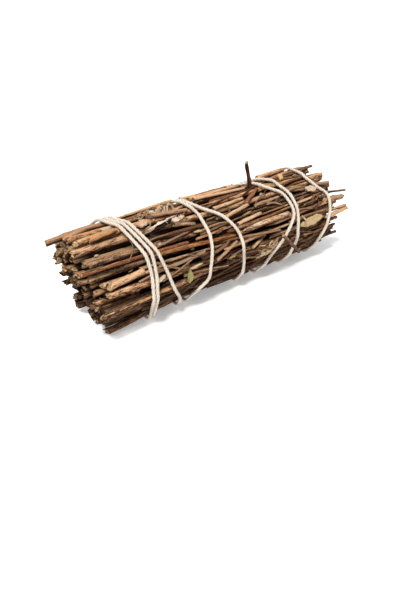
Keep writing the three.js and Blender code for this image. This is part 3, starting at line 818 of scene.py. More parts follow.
def grow(kind, template, points, radii, random, tint):
    """A copy of the straight twig, bent along the points, which are in metres like the radii."""
    rough, buds, torn = GROWTH[kind]
    mesh = template.copy()
    corners = corners_of(mesh)
    steps = mesh["rings"]
    line, girth, even = rounded_line(points, radii, steps)
    sides, ups = turned_frames(line)
    place = np.clip(corners[:, 0], 0, 1) * (steps - 1)
    before = np.minimum(place.astype(int), steps - 2)
    share = (place - before)[:, None]

    def at(rows):
        return rows[before] * (1 - share) + rows[before + 1] * share

    turns = np.arctan2(corners[:, 2], corners[:, 1])
    across = np.hypot(corners[:, 1], corners[:, 2])
    is_bark = across > GIRTH_EDGE
    along_mm = np.interp(place, np.arange(steps), even) / MM
    reach = np.interp(place, np.arange(steps), girth) * across
    swell = bud_scars(turns, along_mm, random, buds)
    reach *= 1 + swell * is_bark + furrows(turns, along_mm, random, rough)
    outward = at(sides) * np.cos(turns)[:, None] + at(ups) * np.sin(turns)[:, None]
    spots = at(line) + outward * reach[:, None]
    forward = (line[-1] - line[0]) / np.linalg.norm(line[-1] - line[0])
    spots += forward * torn_ends(corners, girth, torn, random)[:, None]
    move_corners(mesh, spots)
    mark(mesh, "straight", np.stack([along_mm, across * np.cos(turns), across * np.sin(turns)], axis=1))
    # the shade and highlight painted on each corner
    shade = painted_shade_and_highlight(spots, at(line), reach, is_bark)
    mark(mesh, "tint", np.column_stack([np.tile(tint, (len(spots), 1)), shade, np.ones(len(spots))]))
    return mesh


# %% Join and dress a piece


def joined(name, meshes):
    """Several meshes as one piece, at the origin."""
    parts = [bpy.data.objects.new(f"{name} part {i}", mesh) for i, mesh in enumerate(meshes)]
    for part in parts:
        bpy.context.scene.collection.objects.link(part)
    select_only(*parts)
    if len(parts) > 1:
        bpy.ops.object.join()
    parts[0].name = name
    return parts[0]


def dress(piece, finish):
    """Gives a piece its finish and lets it ride on the object."""
    piece.data.materials.clear()
    piece.data.materials.append(finish)
    piece.data.shade_smooth()
    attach(piece, "root")


def random_tint(random):
    """How pale and how rusty a twig is, each from 0 to 1."""
    return (random.uniform(0, 1), random.uniform(0, 1))


# %% [markdown]
# ## The twigs that show along their length
#
# Each replaces its plain solid. A sage stem is thick where it was cut and thin at its tip, so each twig
# is drawn in towards the right, which leaves room for the thin twigs that fill the hollows. The forked
# twig keeps its size, because its broken side shoot stands on it.

# %% How thick each twig is drawn
THINNER = {"orange_twig": 0.84, "red_twig": 0.8}
SLIM_PLACES = (-60, -40, -20, 10, 40, 60)  # mm along the bundle
SLIM_SHARES = (0.87, 0.88, 0.76, 0.70, 0.62, 0.54)  # of the plain twig's radius
CROWN_ANGLES = (90, 104, 136, 150)  # degrees round: the twigs of the skyline stay thicker, under the twine
CROWN_SHARES = (0, 0.85, 0.85, 0)


def slimmed(points, radii, random):
    """A twig drawn in towards its tip, and sunk a little towards the axis."""
    share = np.interp(points[:, 0] / MM, SLIM_PLACES, SLIM_SHARES) * random.uniform(0.84, 1.14)
    share = np.minimum(share, 1)
    y, z = points.mean(axis=0)[1:] - AXIS[1:]
    share += (1 - share) * np.interp(math.degrees(math.atan2(z, -y)), CROWN_ANGLES, CROWN_SHARES)
    away = from_axis(points)
    inward = away / np.linalg.norm(away, axis=1)[:, None]
    sunk = points - inward * ((1 - share) * radii * random.uniform(-0.4, 1.0))[:, None]
    return sunk, radii * share


# %% Outer twigs
SLOTS = {part["node"]: part["material_slot"] for part in frame["record"]["subparts"]}
OWN_TINTS = {  # how pale and how rusty, where the photograph shows it clearly
    "orange_twig": (0.3, 0.7),
    "red_twig": (0.3, 0.6),
    "outer_twig_05": (0.02, 0.61),
    "outer_twig_07": (0.24, 0.58),
    "outer_twig_12": (0.06, 0.52),
    "outer_twig_15": (0.90, 0.48),
    "outer_twig_16": (0.36, 0.50),
    "outer_twig_17": (0.04, 0.46),
    "outer_twig_21": (0.00, 0.38),
    "outer_twig_23": (0.26, 0.54),
    "outer_twig_30": (0.80, 0.42),
    "outer_twig_34": (0.03, 0.64),
    "surface_twig_01": (0.20, 0.44),
    "surface_twig_06": (0.45, 0.70),
    "surface_twig_09": (0.10, 0.36),
    "surface_twig_12": (0.01, 0.40),
}
SHOOT_FOOT = Vector((2.3, -1.0, -12.3)) * MM  # from the top of the side shoot to where it grows
SHOOT_BEND = Vector((0.1, 0, 0)) * MM  # how far it bows at half its height
SHOOT_RADII = np.array([0.9, 0.75, 0.72]) * MM
SHOOT_TOP = 0.25 * MM  # the corners this close to the highest one are its top
FURROW_ROOM = 0.97  # of the radius: furrows and buds stand out further


def standing_shoot(random):
    """The broken side shoot that stands on the forked twig."""
    corners = node_corners("forked_twig")
    top = corners[corners[:, 2] > corners[:, 2].max() - SHOOT_TOP].mean(axis=0)
    line = np.array([top + SHOOT_FOOT, top + SHOOT_FOOT * 0.5 + SHOOT_BEND, top])
    return grow("shoot", PLAIN_TWIG, line, SHOOT_RADII, random, (0.3, 0.8))


shown_lines = {}
for number, (node, (points, radii)) in enumerate(twig_lines.items()):
    random = np.random.default_rng(100 + number)
    if node != "forked_twig":
        points, radii = slimmed(points, radii * THINNER.get(node, 1.0), random)
    shown_lines[node] = (points, radii)
    tint = OWN_TINTS.get(node, random_tint(random))
    meshes = [grow("outer", FINE_TWIG, points, radii * FURROW_ROOM, random, tint)]
    if node == "forked_twig":
        meshes.append(standing_shoot(random))
    piece = joined(node + "_bark", meshes)
    dress(piece, bark_finishes[SLOTS[node]])
    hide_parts(node)
print("twigs along the outside:", number + 1)

# %% [markdown]
# ## Short twigs and tips
#
# Broken lengths lie on top of the others and catch the eye: a dark red one, a thick one with a pale scar,
# a few that make the bundle's skyline, and sunlit or tan ones in between. Each is told by where its two
# ends lie, and is dropped onto the twigs there, so that none floats. Past the last turn of twine there is
# nothing to lie on, and the loose tips there are told by how far out they reach as well.

# %% Short twigs in plain sight
SHORT_TWIGS = {  # [x, angle] of both ends, the radius at each, how far it is pressed in, its bark and tint
    "red_stick": ([7.0, 61.0], [17.4, 79.0], (0.85, 0.75), 0.3, "red_bark", (0.30, 0.3)),
    "scarred_stick": ([-0.6, 29.0], [24.2, 31.0], (1.4, 1.05), 1.2, "grey_bark", (0.02, 0.3)),
    "skyline_stick": ([25.8, 111.0], [41.3, 112.5], (1.15, 1.1), 0.0, "brown_bark", (0.5, 0.3)),
    "crown_stick": ([-41.8, 104.5], [-17.8, 112.0], (0.45, 1.0), 0.5, "brown_bark", (0.75, 0.1)),
    "crown_stub": ([-13.2, 112.0], [-6.4, 111.0], (1.05, 0.9), 0.1, "grey_bark", (0.9, 0.1)),
    "tan_stick": ([-7.4, 66.8], [7.9, 70.7], (0.8, 0.7), 0.6, "brown_bark", (0.7, 0.2)),
    "second_tan_stick": ([-4.6, 52.0], [7.5, 58.3], (0.75, 0.65), 0.6, "grey_bark", (0.6, 0.3)),
    "leaning_stick": ([-0.4, 39.0], [11.8, 43.4], (0.75, 0.7), 0.8, "grey_bark", (0.7, 0.2)),
    "dark_stick": ([10.8, 54.2], [24.8, 58.2], (0.8, 0.7), 0.6, "dark_bark", (0.3, 0.3)),
    "steep_stick": ([-13.2, 4.5], [-2.8, 19.5], (0.6, 0.5), 0.8, "dark_bark", (0.7, 0.2)),
    "sunlit_twig": ([-11.5, 101.0], [12.0, 102.0], (0.9, 0.75), 0.5, "brown_bark", (0.95, 0.6)),
    "pale_twig": ([-11.5, 90.0], [14.0, 93.0], (0.8, 0.65), 0.6, "grey_bark", (1.0, 0.2)),
    "crown_twig": ([-5.6, 109.0], [8.0, 110.5], (0.8, 0.7), 0.1, "brown_bark", (0.6, 0.9)),
    "short_stick": ([-33.0, 79.0], [-17.6, 77.0], (0.85, 0.8), 0.1, "dark_bark", (0.7, 0.3)),
    "olive_stick": ([-25.6, 63.4], [-16.3, 60.0], (0.75, 0.6), 0.2, "grey_bark", (0.5, 0.0)),
    "split_stick": ([4.0, 4.0], [13.0, 11.0], (0.7, 0.55), 0.4, "brown_bark", (0.3, 0.2)),
    "end_stick": ([-57.5, 72.0], [-47.8, 74.0], (1.0, 0.9), 0.1, "brown_bark", (0.55, 0.8)),
    "yellow_stick": ([-57.0, 17.5], [-43.4, 22.5], (1.2, 1.1), 2.2, "brown_bark", (0.45, 0.0)),
}
SETTLED = 0.7  # of the height at which a stick would rest on its highest neighbour alone


def between(first, last, count):
    """Evenly spaced steps from one place to another, as one row for each of their numbers."""
    share = np.linspace(0, 1, count)
    return [start + (end - start) * share for start, end in zip(first, last)]


def laid_stick(first, last, radii, pressed, count=9):
    """A straight stick on the twigs: its points and radii in mm, from the axis."""
    x, angle = between(first, last, count)
    girth, share = between((radii[0], 0), (radii[1], 1), count)
    out = surface_radius(rods, x, angle, girth)
    level = np.polyval(np.polyfit(share, out, 1), share)
    return at_angle(x, angle, level + max((out - level).max() - pressed, 0) * SETTLED), girth


rods = rods_of([*shown_lines.values(), *inner])
short_pieces = {slot: [] for slot in ("red_bark", "brown_bark", "grey_bark", "dark_bark")}
clear_lines = [shown_lines[node] for node in ("orange_twig", "red_twig")]
for number, (first, last, radii, pressed, slot, tint) in enumerate(SHORT_TWIGS.values()):
    random = np.random.default_rng(600 + number)
    line, girth = laid_stick(first, last, radii, pressed)
    short_pieces[slot].append(grow("stick", FINE_TWIG, in_metres(line), girth * MM, random, tint))
    clear_lines.append((in_metres(line), girth * MM))
    rods = np.concatenate([rods, rod(line, girth)[None]])
print("short twigs:", len(SHORT_TWIGS))

# %% Tips past the last turn
TIPS = {  # [x, angle, mm from the axis] of both ends, the radius at each, its bark and tint
    "dark_tip": ([43.6, 101.0, 17.3], [54.4, 98.0, 17.6], (0.65, 0.62), "dark_bark", (0.2, 0.2)),
    "thick_tip": ([43.0, 74.0, 16.5], [52.4, 71.5, 16.9], (1.3, 1.25), "brown_bark", (0.3, 0.2)),
    "second_tip": ([44.0, 60.0, 16.9], [52.8, 55.5, 17.0], (0.85, 0.8), "dark_bark", (0.6, 0.2)),
    "long_tip": ([47.0, 43.5, 17.2], [60.0, 37.5, 16.4], (0.52, 0.5), "dark_bark", (0.0, 0.2)),
    "purple_tip": ([47.0, 33.0, 16.7], [57.4, 29.0, 15.9], (1.15, 1.1), "dark_bark", (0.5, 0.1)),
    "tan_tip": ([45.0, 8.0, 16.9], [60.0, 9.5, 16.0], (0.85, 0.75), "brown_bark", (0.8, 0.2)),
    "deep_tip": ([33.0, 19.8, 13.5], [53.0, 19.8, 13.4], (1.0, 0.85), "dark_bark", (0.4, 0.3)),
    "second_deep_tip": ([40.0, 35.8, 13.4], [51.0, 39.5, 13.4], (0.9, 0.8), "dark_bark", (0.3, 0.3)),
    "low_tip": ([43.0, -26.0, 16.9], [55.6, -27.0, 17.2], (0.7, 0.65), "dark_bark", (0.3, 0.2)),
}
for number, (first, last, radii, slot, tint) in enumerate(TIPS.values()):
    random = np.random.default_rng(700 + number)
    line, girth = at_angle(*between(first, last, 5)), np.linspace(*radii, 5)
    short_pieces[slot].append(grow("stick", PLAIN_TWIG, in_metres(line), girth * MM, random, tint))
for slot, meshes in short_pieces.items():
    dress(joined("short_sticks_" + slot, meshes), bark_finishes[slot])
print("tips:", len(TIPS))

# %% [markdown]
# ## Thin twigs
#
# Half of the bundle is thin stuff: tips, side shoots and broken bits, which lie in the hollows between
# the thicker twigs and cross them at slight angles. They are strewn the way they would fall. Each gets
# a random place, drops onto what already lies there, and stays if it lies under the twine and doesn't
# stand out too far. If it doesn't fit, the next one is tried.

# %% What the thin twigs keep clear of
THIN_LIMIT = 17.75  # mm from the axis, which a twig may pass by its own allowance
THIN_DEEPEST = 13.5  # mm from the axis: past the tips there is nothing to lie on
FLOOR_GAP = 0.1
TWINE_BITE = 0.12  # mm that the twine may press into a twig
CLEAR_WAY = 1.2  # mm on each side of what shows clearly, where nothing may lie on it
BLADE_SLOTS = ("dry_leaf", "green_leaf", "pale_wood")
blade_nodes = sorted(node for node in frame["nodes"] if SLOTS[node] in BLADE_SLOTS)
twine_spots = twine_line - axis_mm


def line_tops(points, radii):
    """Points along the outermost side of a twig, a millimetre apart, from the axis."""
    x = np.arange(points[0, 0], points[-1, 0], MM)
    line = spots_along(points, points[:, 0], x) / MM - axis_mm
    away = line * (0, 1, 1)
    girth = np.interp(x, points[:, 0], radii)[:, None]
    return line + away / np.linalg.norm(away, axis=1)[:, None] * girth / MM


kept_clear = [node_corners(node) / MM - axis_mm for node in blade_nodes]
kept_clear += [line_tops(points, radii) for points, radii in clear_lines]
kept_clear = np.concatenate(kept_clear)


def fits(line, out, radii, allowance):
    """Whether a thin twig stays under the twine, off the floor and what is kept clear, and not too proud."""
    too_proud = (out + radii).max() > THIN_LIMIT + allowance
    on_nothing = out.min() < THIN_DEEPEST
    too_low = (line[:, 2] + axis_mm[2] - radii).min() < FLOOR_GAP
    if too_proud or on_nothing or too_low:
        return False
    apart = np.linalg.norm(line[:, None] - twine_spots[None], axis=2) - radii[:, None]
    if apart.min() < TWINE_RADIUS - TWINE_BITE:
        return False
    clear_out = np.hypot(kept_clear[:, 1], kept_clear[:, 2])
    side = np.cross(line[:, None, 1:], kept_clear[None, :, 1:]) / out[:, None]
    ahead = np.einsum("ik,jk->ij", line[:, 1:], kept_clear[:, 1:]) > 0
    along = line[:, None, 0] - kept_clear[None, :, 0]
    near = (np.abs(along) < CLEAR_WAY) & (np.abs(side) < CLEAR_WAY) & ahead
    return not (near & ((out + radii)[:, None] > clear_out[None] - 0.1)).any()


# %% Strew thin twigs
LEAN = 6.0  # degrees that the thin twigs lean up towards the right, on average
THIN_STEP = 1.5  # mm between the places where a thin twig is set down
THIN_SPAN = 14  # places that a thin twig can span without touching
FIRST_START, LAST_START = -46, 56  # mm along the bundle, the second less 0.6 of the twig's length
TIP_LINE, TIP_RANGE = 44, 12  # mm along the bundle where the tips end, and how much further a few reach
SHORTEST = 4


def strewn(random, rods, length, slope, radius, allowance, angles):
    """One thin twig, or None where it doesn't fit: its points and radii in mm, from the axis."""
    start = random.uniform(FIRST_START, LAST_START - length * 0.6)
    end = min(start + length, TIP_LINE + TIP_RANGE * random.uniform(0, 1) ** 2)
    if end - start < SHORTEST:
        return None
    share = np.linspace(0, 1, max(5, round((end - start) / THIN_STEP)))
    x = start + (end - start) * share
    rise = math.tan(math.radians(random.normal(LEAN, slope))) * (end - start)
    turn = math.degrees(rise / BUNDLE_RADIUS)
    angle = random.uniform(*angles) + turn * share + random.normal(0, 2.5) * np.sin(math.pi * share)
    radii = radius * (1 - random.uniform(0.1, 0.4) * share)
    out = pulled_taut(angle, surface_radius(rods, x, angle, radii), THIN_SPAN)
    line = at_angle(x, angle, out)
    return (line, radii) if fits(line, out, radii, allowance) else None


ALL_ROUND = (-180, 180)
CROWN = (98, 128)  # the skyline in the photograph, where the twine lies on twigs without a gap
KINDS = (  # how many at most, length in mm, slope in degrees, radius, how proud they may lie, and where
    (14, (14, 55), 3.0, (0.45, 0.9), 1.1, CROWN),
    (50, (45, 95), 4.5, (0.65, 1.05), 0.5, ALL_ROUND),
    (130, (18, 50), 7.5, (0.45, 0.95), 0.7, ALL_ROUND),
    (120, (5, 18), 15.0, (0.28, 0.65), 0.9, ALL_ROUND),
)
TRIES = 2500
THIN_SLOTS = ("grey_bark", "brown_bark", "dark_bark", "red_bark")
THIN_CHANCES = (0.34, 0.34, 0.22, 0.10)

random = np.random.default_rng(41)
thin_meshes = {slot: [] for slot in THIN_SLOTS}
thin_lines = []
for wanted, lengths, slope, radius_range, allowance, angles in KINDS:
    found = 0
    for _ in range(TRIES):
        length, radius = random.uniform(*lengths), random.uniform(*radius_range)
        twig = strewn(random, rods, length, slope, radius, allowance, angles)
        if twig is None:
            continue
        line, girth = twig
        rods = np.concatenate([rods, rod(line, girth)[None]])
        thin_lines.append(twig)
        tint = random_tint(random)
        mesh = grow("thin", THIN_TWIG, in_metres(line), girth * MM, random, tint)
        thin_meshes[random.choice(THIN_SLOTS, p=THIN_CHANCES)].append(mesh)
        found += 1
        if found == wanted:
            break
    print("thin twigs", lengths, "mm long:", found)
for slot, meshes in thin_meshes.items():
    dress(joined("thin_twigs_" + slot, meshes), bark_finishes[slot])

# %% [markdown]
# ## Broken side shoots
#
# A sage stem had a twig or a leaf at every joint, and dried and handled it keeps a short stub of many of
# them. They make the bundle's outline bristle. Each stub leaves its twig at a slant, towards the tip.

# %% Side shoots
STUBS = 50
STUB_TWIG = straight_twig("stub", 8, 8)
STUB_DEEPEST = 15.8  # mm from the axis: deeper ones wouldn't show
STUB_ALLOWANCE = 2.6
carriers = [(points / MM - axis_mm, radii / MM) for points, radii in shown_lines.values()] + thin_lines


def stub(random):
    """A short shoot on some twig that shows, or None where it would stand in the twine's way."""
    points, radii = carriers[random.integers(len(carriers))]
    x = random.uniform(points[0, 0], points[-1, 0])
    foot = spots_along(points, points[:, 0], [x])[0]
    girth = np.interp(x, points[:, 0], radii)
    if np.hypot(foot[1], foot[2]) < STUB_DEEPEST:
        return None
    angle = math.degrees(math.atan2(foot[2], -foot[1])) + random.uniform(-45, 45)
    lean, length = math.radians(random.uniform(20, 50)), girth + random.uniform(0.6, 2.2)
    away = at_angle(np.zeros(1), np.array([angle]), np.ones(1))[0]
    tip = foot + (away * math.sin(lean) + np.array([math.cos(lean), 0, 0])) * length
    line = np.array([foot, (foot + tip) / 2 + random.normal(0, 0.08, 3), tip])
    sizes = min(girth * 0.6, 0.6) * np.array([1.0, 0.8, 0.7])
    out = np.hypot(line[1:, 1], line[1:, 2])
    standing = at_angle(line[1:, 0], np.degrees(np.arctan2(line[1:, 2], -line[1:, 1])), out)
    return (line, sizes) if fits(standing, out, sizes[1:], STUB_ALLOWANCE) else None


random = np.random.default_rng(55)
stub_meshes = []
while len(stub_meshes) < STUBS:
    found = stub(random)
    if found:
        line, sizes = in_metres(found[0]), found[1] * MM
        stub_meshes.append(grow("stub", STUB_TWIG, line, sizes, random, random_tint(random)))
dress(joined("side_shoots", stub_meshes), bark_finishes["brown_bark"])
print("side shoots:", len(stub_meshes))

# %% [markdown]
# ## The twig over the twine
#
# One short dark twig lies across two turns of the twine, on the near side. Its solid is a plain straight
# shoot, square to nothing, so its ends are found another way: the longest direction of its corners is
# the way it lies, and the corners of each half are one end.

# %% The twig over the twine


def straight_line_of(node):
    """The two ends of a straight shoot, from its solid's corners."""
    corners = node_corners(node)
    middle = corners.mean(axis=0)
    direction = np.linalg.svd(corners - middle)[2][0]
    along = (corners - middle) @ direction
    halves = [corners[along < 0], corners[along > 0]]
    middles = np.array([half.mean(axis=0) for half in halves])
    radii = np.array([np.linalg.norm(half - spot, axis=1).mean() for half, spot in zip(halves, middles)])
    return middles, radii


random = np.random.default_rng(7)
points, radii = straight_line_of("cross_twig")
mesh = grow("over the twine", PLAIN_TWIG, points, radii, random, (0.35, 0.3))
cross_twig = joined("cross_twig_bark", [mesh])
dress(cross_twig, bark_finishes["dark_bark"])
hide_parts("cross_twig")
print("twig over the twine, mm long:", round(np.linalg.norm(points[1] - points[0]) / MM))

# %% [markdown]
# ## The twigs inside
#
# Only their ends show, but they are whole twigs, so that no light falls through the bundle. They are one
# piece, as in the solid, because all of them have the same bark and none is told from another.

# %% Inner twigs
INNER_SHARES = np.array([0.84, 0.74, 0.62])  # of the solid's radius, at the butt, the middle and the tip
meshes = []
for number, (points, radii) in enumerate(inner):
    random = np.random.default_rng(300 + number)
    bow = np.array([0, *random.normal(0, 0.12, 2)]) * MM
    line = np.array([points[0], points.mean(axis=0) + bow, points[1]])
    girth = np.array([radii[0], radii.mean(), radii[1]]) * INNER_SHARES
    meshes.append(grow("inner", PLAIN_TWIG, line, girth, random, random_tint(random)))
inner_piece = joined("inner_twigs_bark", meshes)
dress(inner_piece, bark_finishes["cut_wood"])
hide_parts("inner_twigs")
print("inner twigs:", len(meshes))

# %% [markdown]
# ## Thin twigs between the butts
#
# The cut end of a real bundle has no holes to look into: thin butts stand between the thick ones. Each is
# given a random place on the end face and stays where it has room, and it starts about where the thick
# ones round it start. They are short, because no more of them can be seen.

# %% Thin twigs between the butts
FILLERS = 44
FILLER_DISC = 15.5  # mm from the axis, within which they stand
FILLER_LENGTH = 16
FILLER_RADII = (0.45, 0.9)
FILLER_ROOM = 0.75  # of its radius that must be free round its middle
whole_lines = [*shown_lines.values(), *inner]
whole_butts = np.array([points[0] / MM - axis_mm for points, _ in whole_lines])


def filler(random, start, y, z, radius):
    """One thin butt, from its place on the end face inwards, in mm from the axis."""
    drift_y, drift_z = random.normal(0, 0.5, 2)
    line = np.array([[start, y, z], [start + FILLER_LENGTH, y + drift_y, z + drift_z]])
    girth = np.full(2, radius)
    return grow("filler", THIN_TWIG, in_metres(line), girth * MM, random, random_tint(random))


random = np.random.default_rng(77)
fillers = []
places = [(y, z, radii[0] / MM) for (_, y, z), (_, radii) in zip(whole_butts, whole_lines)]
while len(fillers) < FILLERS:
    out = FILLER_DISC * random.uniform(0, 1) ** 0.5
    turn = random.uniform(0, 2 * math.pi)
    radius = random.uniform(*FILLER_RADII)
    y, z = out * math.cos(turn), out * math.sin(turn)
    room = min(math.hypot(y - place_y, z - place_z) - taken for place_y, place_z, taken in places)
    if room < radius * FILLER_ROOM:
        continue
    places.append((y, z, radius))
    near = np.argsort(np.hypot(whole_butts[:, 1] - y, whole_butts[:, 2] - z))[:4]
    start = whole_butts[near, 0].mean() + random.uniform(-1.2, 5.0)
    fillers.append(filler(random, start, y, z, radius))
dress(joined("thin_butts", fillers), bark_finishes["brown_bark"])
print("thin butts:", len(fillers))

# %% [markdown]
# ## The twine itself
#
# Cotton twine is three plies twisted together. Its section is three round lobes, and the section turns
# as it goes along. Underneath, the bundle's weight presses it flat against the surface.

# %% Twine
PLIES = 3
PLY_RADIUS = 0.42
PLY_OFFSET = 0.25
LAY_LENGTH = 5.2  # mm in which the plies turn once round each other
SECTION_CORNERS = 18
ALONG_STEP = 0.34
WANDER_STEP, WANDER = 7.0, 1.6  # mm between changes of the twist, and how far it strays
SWELL_STEP = 3.0  # mm between changes of the thickness


def drifting(even, step, tail, random, middle, spread):
    """A value that drifts along the twine, with a new random one at each step."""
    places = np.arange(0, even[-1] + tail, step)
    return np.interp(even, places, random.normal(middle, spread, len(places)))


def three_lobes(turns):
    """How far the edge of three plies lies from their middle, at each direction round it."""
    from_lobe = math.pi / PLIES - np.abs(turns * PLIES / (2 * math.pi) % 1 - 0.5) * 2 * math.pi / PLIES
    return PLY_OFFSET * np.cos(from_lobe) + np.sqrt(PLY_RADIUS**2 - (PLY_OFFSET * np.sin(from_lobe)) ** 2)


def tube_faces(rings, count):
    """The faces of a tube of rings, each of count corners, with both its ends closed."""
    ring, corner = np.meshgrid(np.arange(rings - 1) * count, np.arange(count), indexing="ij")
    after = (corner + 1) % count
    faces = np.stack([ring + corner, ring + after, ring + count + after, ring + count + corner], axis=-1)
    caps = [tuple(range(count - 1, -1, -1)), tuple(range((rings - 1) * count, rings * count))]
    return [tuple(face) for face in faces.reshape(-1, 4).tolist()] + caps


def twine_mesh(line):
    line = line.copy()
    for _ in range(2):
        line[1:-1] = (line[:-2] + 2 * line[1:-1] + line[2:]) / 4
    along = along_line(line)
    even = np.linspace(0, along[-1], round(along[-1] / ALONG_STEP))
    spots = spots_along(line, along, even)
    sides, ups = turned_frames(spots)
    random = np.random.default_rng(5)
    turns = np.linspace(0, 2 * math.pi, SECTION_CORNERS, endpoint=False)
    wander = drifting(even, WANDER_STEP, 9, random, 0, 0.6)
    swell = drifting(even, SWELL_STEP, 4, random, 1, 0.035)
    lobes = three_lobes(turns)
    reach = lobes[None, :] * swell[:, None] * random.uniform(0.93, 1.03, (len(even), SECTION_CORNERS))
    reach[[0, -1]] *= 0.6  # the cut ends are drawn in
    turned = turns[None, :] + (2 * math.pi * even / LAY_LENGTH + wander * WANDER)[:, None]
    outward = np.cos(turned)[..., None] * sides[:, None, :] + np.sin(turned)[..., None] * ups[:, None, :]
    corners = spots[:, None, :] + reach[..., None] * outward
    corners[..., 2] = np.maximum(corners[..., 2], 0.0)  # the floor flattens it
    mesh = bpy.data.meshes.new("twine")
    mesh.from_pydata((corners.reshape(-1, 3) * MM).tolist(), [], tube_faces(len(even), SECTION_CORNERS))
    groove = lobes / lobes.max()
    columns = (np.repeat(even, SECTION_CORNERS), np.tile(turns, len(even)), np.tile(groove, len(even)))
    mark(mesh, "straight", np.stack(columns, axis=1))
    return mesh


def cotton_finish():
    """Off-white cotton: painted shade makes the grooves between the plies darker; fibres follow the twist.
    """
    material = Material("cotton twine")
    along, around, groove = material.attribute("straight").split()
    sockets = {"X": along * 0.9 + around * 0.5, "Y": around * 3.5, "Z": groove}
    twisted = add_node(material.tree, "CombineXYZ", sockets)
    fibres = material.noise(twisted, 3.0, 5.0, 0.6)
    patches = material.noise(add_node(material.tree, "TexCoord", output="Object"), 160.0, 3.0, 0.5)
    # painted shade: the colour darkens with the groove between the plies
    colour = material.ramp(groove * 0.7 + fibres * 0.75 - 0.15, (
        (0.45, (0.44, 0.33, 0.24)),
        (0.78, (0.66, 0.55, 0.44)),
        (1.00, (0.86, 0.78, 0.67)),
    ))
    colour = material.blend(patches.above(0.45, 0.7) * 0.35, colour, (0.48, 0.37, 0.25))
    material.set(Sheen_Weight=0.25)
    return material.finish(colour, 0.9, fibres + groove * 0.5, 0.0001, 0.6)


twine = joined("cotton_twine", [twine_mesh(twine_line)])
dress(twine, cotton_finish())
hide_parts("twine")
print("twine faces:", len(twine.data.polygons))

# %% [markdown]
# ## Leaves, flakes and a chip
#
# These are thin plates that lie on the twigs. Each starts as a copy of its plain solid, so it is in the
# right place, and is subdivided and crumpled.
#
# A picture of a leaf on a flat card would do from afar, but its face would stay flat. These have a real
# edge and a crumpled face, and the material draws their veins.

# %% Finish of a leaf or flake


def blade_finish(name, low, middle, high, veined):
    material = Material(name)
    blade = material.attribute("blade")
    along, across, _ = blade.split()
    mottle = material.noise(material.scaled(blade, (0.5, 1.6, 1.0)), 2.2, 5.0, 0.62)
    grain = material.noise(material.scaled(blade, (0.6, 6.0, 1.0)), 2.0, 4.0, 0.6)
    colour = material.ramp(mottle * 0.8 + grain * 0.4 - 0.1, ((0.2, low), (0.5, middle), (0.8, high)))
    spread = across.math("ABSOLUTE")
    slanted = (along * 1.1 - spread * 1.4).math("FRACT")
    midrib = 1 - spread.above(0.04, 0.16)
    side_veins = (slanted - 0.5).math("ABSOLUTE").above(0.36, 0.46)
    veins = (midrib + side_veins * 0.6) * veined
    pale = tuple(min(part * 1.35, 1) for part in high)
    colour = material.blend(veins.math("MINIMUM", 1.0), colour, pale)
    material.set(Specular_IOR_Level=0.15)
    return material.finish(colour, 0.8, mottle * 0.6 + grain * 0.5 + veins * 0.4, 0.0002, 0.8)


DRY_LEAF = ((0.16, 0.11, 0.05), (0.34, 0.27, 0.13), (0.52, 0.44, 0.26), 0.5, 0.05)
BLADES = {  # its dark, middle and light colour, how much its veins show, and how ragged its edge is
    "oval_leaf": ((0.28, 0.19, 0.09), (0.47, 0.34, 0.17), (0.62, 0.49, 0.29), 0.12, 0.04),
    "pointed_leaf": ((0.12, 0.10, 0.035), (0.27, 0.24, 0.085), (0.46, 0.42, 0.22), 0.3, 0.12),
    "back_leaf": DRY_LEAF,
    "low_leaf": DRY_LEAF,
    "wood_chip": ((0.30, 0.14, 0.05), (0.62, 0.37, 0.16), (0.84, 0.62, 0.36), 0.0, 0.28),
    "tip_flake": ((0.28, 0.17, 0.11), (0.58, 0.42, 0.28), (0.82, 0.70, 0.56), 0.0, 0.28),
    "bark_flake": ((0.24, 0.11, 0.07), (0.56, 0.35, 0.22), (0.80, 0.64, 0.46), 0.0, 0.30),
    # the bark strip is near black: a sheet of painted shade over a hollow between the twigs
    "bark_strip": ((0.004, 0.002, 0.001), (0.012, 0.006, 0.003), (0.06, 0.03, 0.015), 0.0, 0.35),
}
blade_finishes = {node: blade_finish(node.replace("_", " "), *look[:4]) for node, look in BLADES.items()}
print("leaf and flake finishes:", len(blade_finishes))

# %% Leaves and flakes
CURL, CRUMPLE = 0.35, 0.25  # mm


def blade_from(node, random, ragged):
    """A finer copy of a thin solid, with its edges curled up and torn and its face crumpled."""
    mesh = frame["nodes"][node].data.copy()
    piece = bpy.data.objects.new(node + "_fine", mesh)
    bpy.context.scene.collection.objects.link(piece)
    select_only(piece)
    bpy.ops.object.mode_set(mode="EDIT")
    bpy.ops.mesh.select_all(action="SELECT")
    bpy.ops.mesh.remove_doubles(threshold=1e-6)
    bpy.ops.mesh.subdivide(number_cuts=2, smoothness=0.4)
    bpy.ops.object.mode_set(mode="OBJECT")
    corners = corners_of(mesh)
    middle = corners.mean(axis=0)
    directions = np.linalg.svd(corners - middle, full_matrices=False)[2]
    away = middle - np.array([middle[0], *AXIS[1:]])
    away /= np.linalg.norm(away)
    place = (corners - middle) @ directions.T / MM
    size = np.abs(place).max(axis=0)
    wave = np.sin(place[:, 0] * 1.9 + random.uniform(0, ANY_PHASE))
    wave *= np.sin(place[:, 1] * 2.3 + random.uniform(0, ANY_PHASE))
    lift = CURL * (place[:, 1] / size[1]) ** 2 + CRUMPLE * np.maximum(wave, 0)
    round_it = np.arctan2(place[:, 1] / size[1], place[:, 0] / size[0])
    notches = 0.5 + 0.3 * np.sin(5 * round_it + random.uniform(0, ANY_PHASE))
    notches += 0.2 * np.sin(13 * round_it + random.uniform(0, ANY_PHASE))
    place[:, :2] *= (1 - ragged * notches)[:, None]
    move_corners(mesh, middle + place * MM @ directions + away * (lift * MM)[:, None])
    mark(mesh, "blade", place)
    return piece


for number, node in enumerate(blade_nodes):
    piece = blade_from(node, np.random.default_rng(900 + number), BLADES[node][4])
    dress(piece, blade_finishes[node])
    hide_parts(node)
print("thin pieces:", len(blade_nodes))

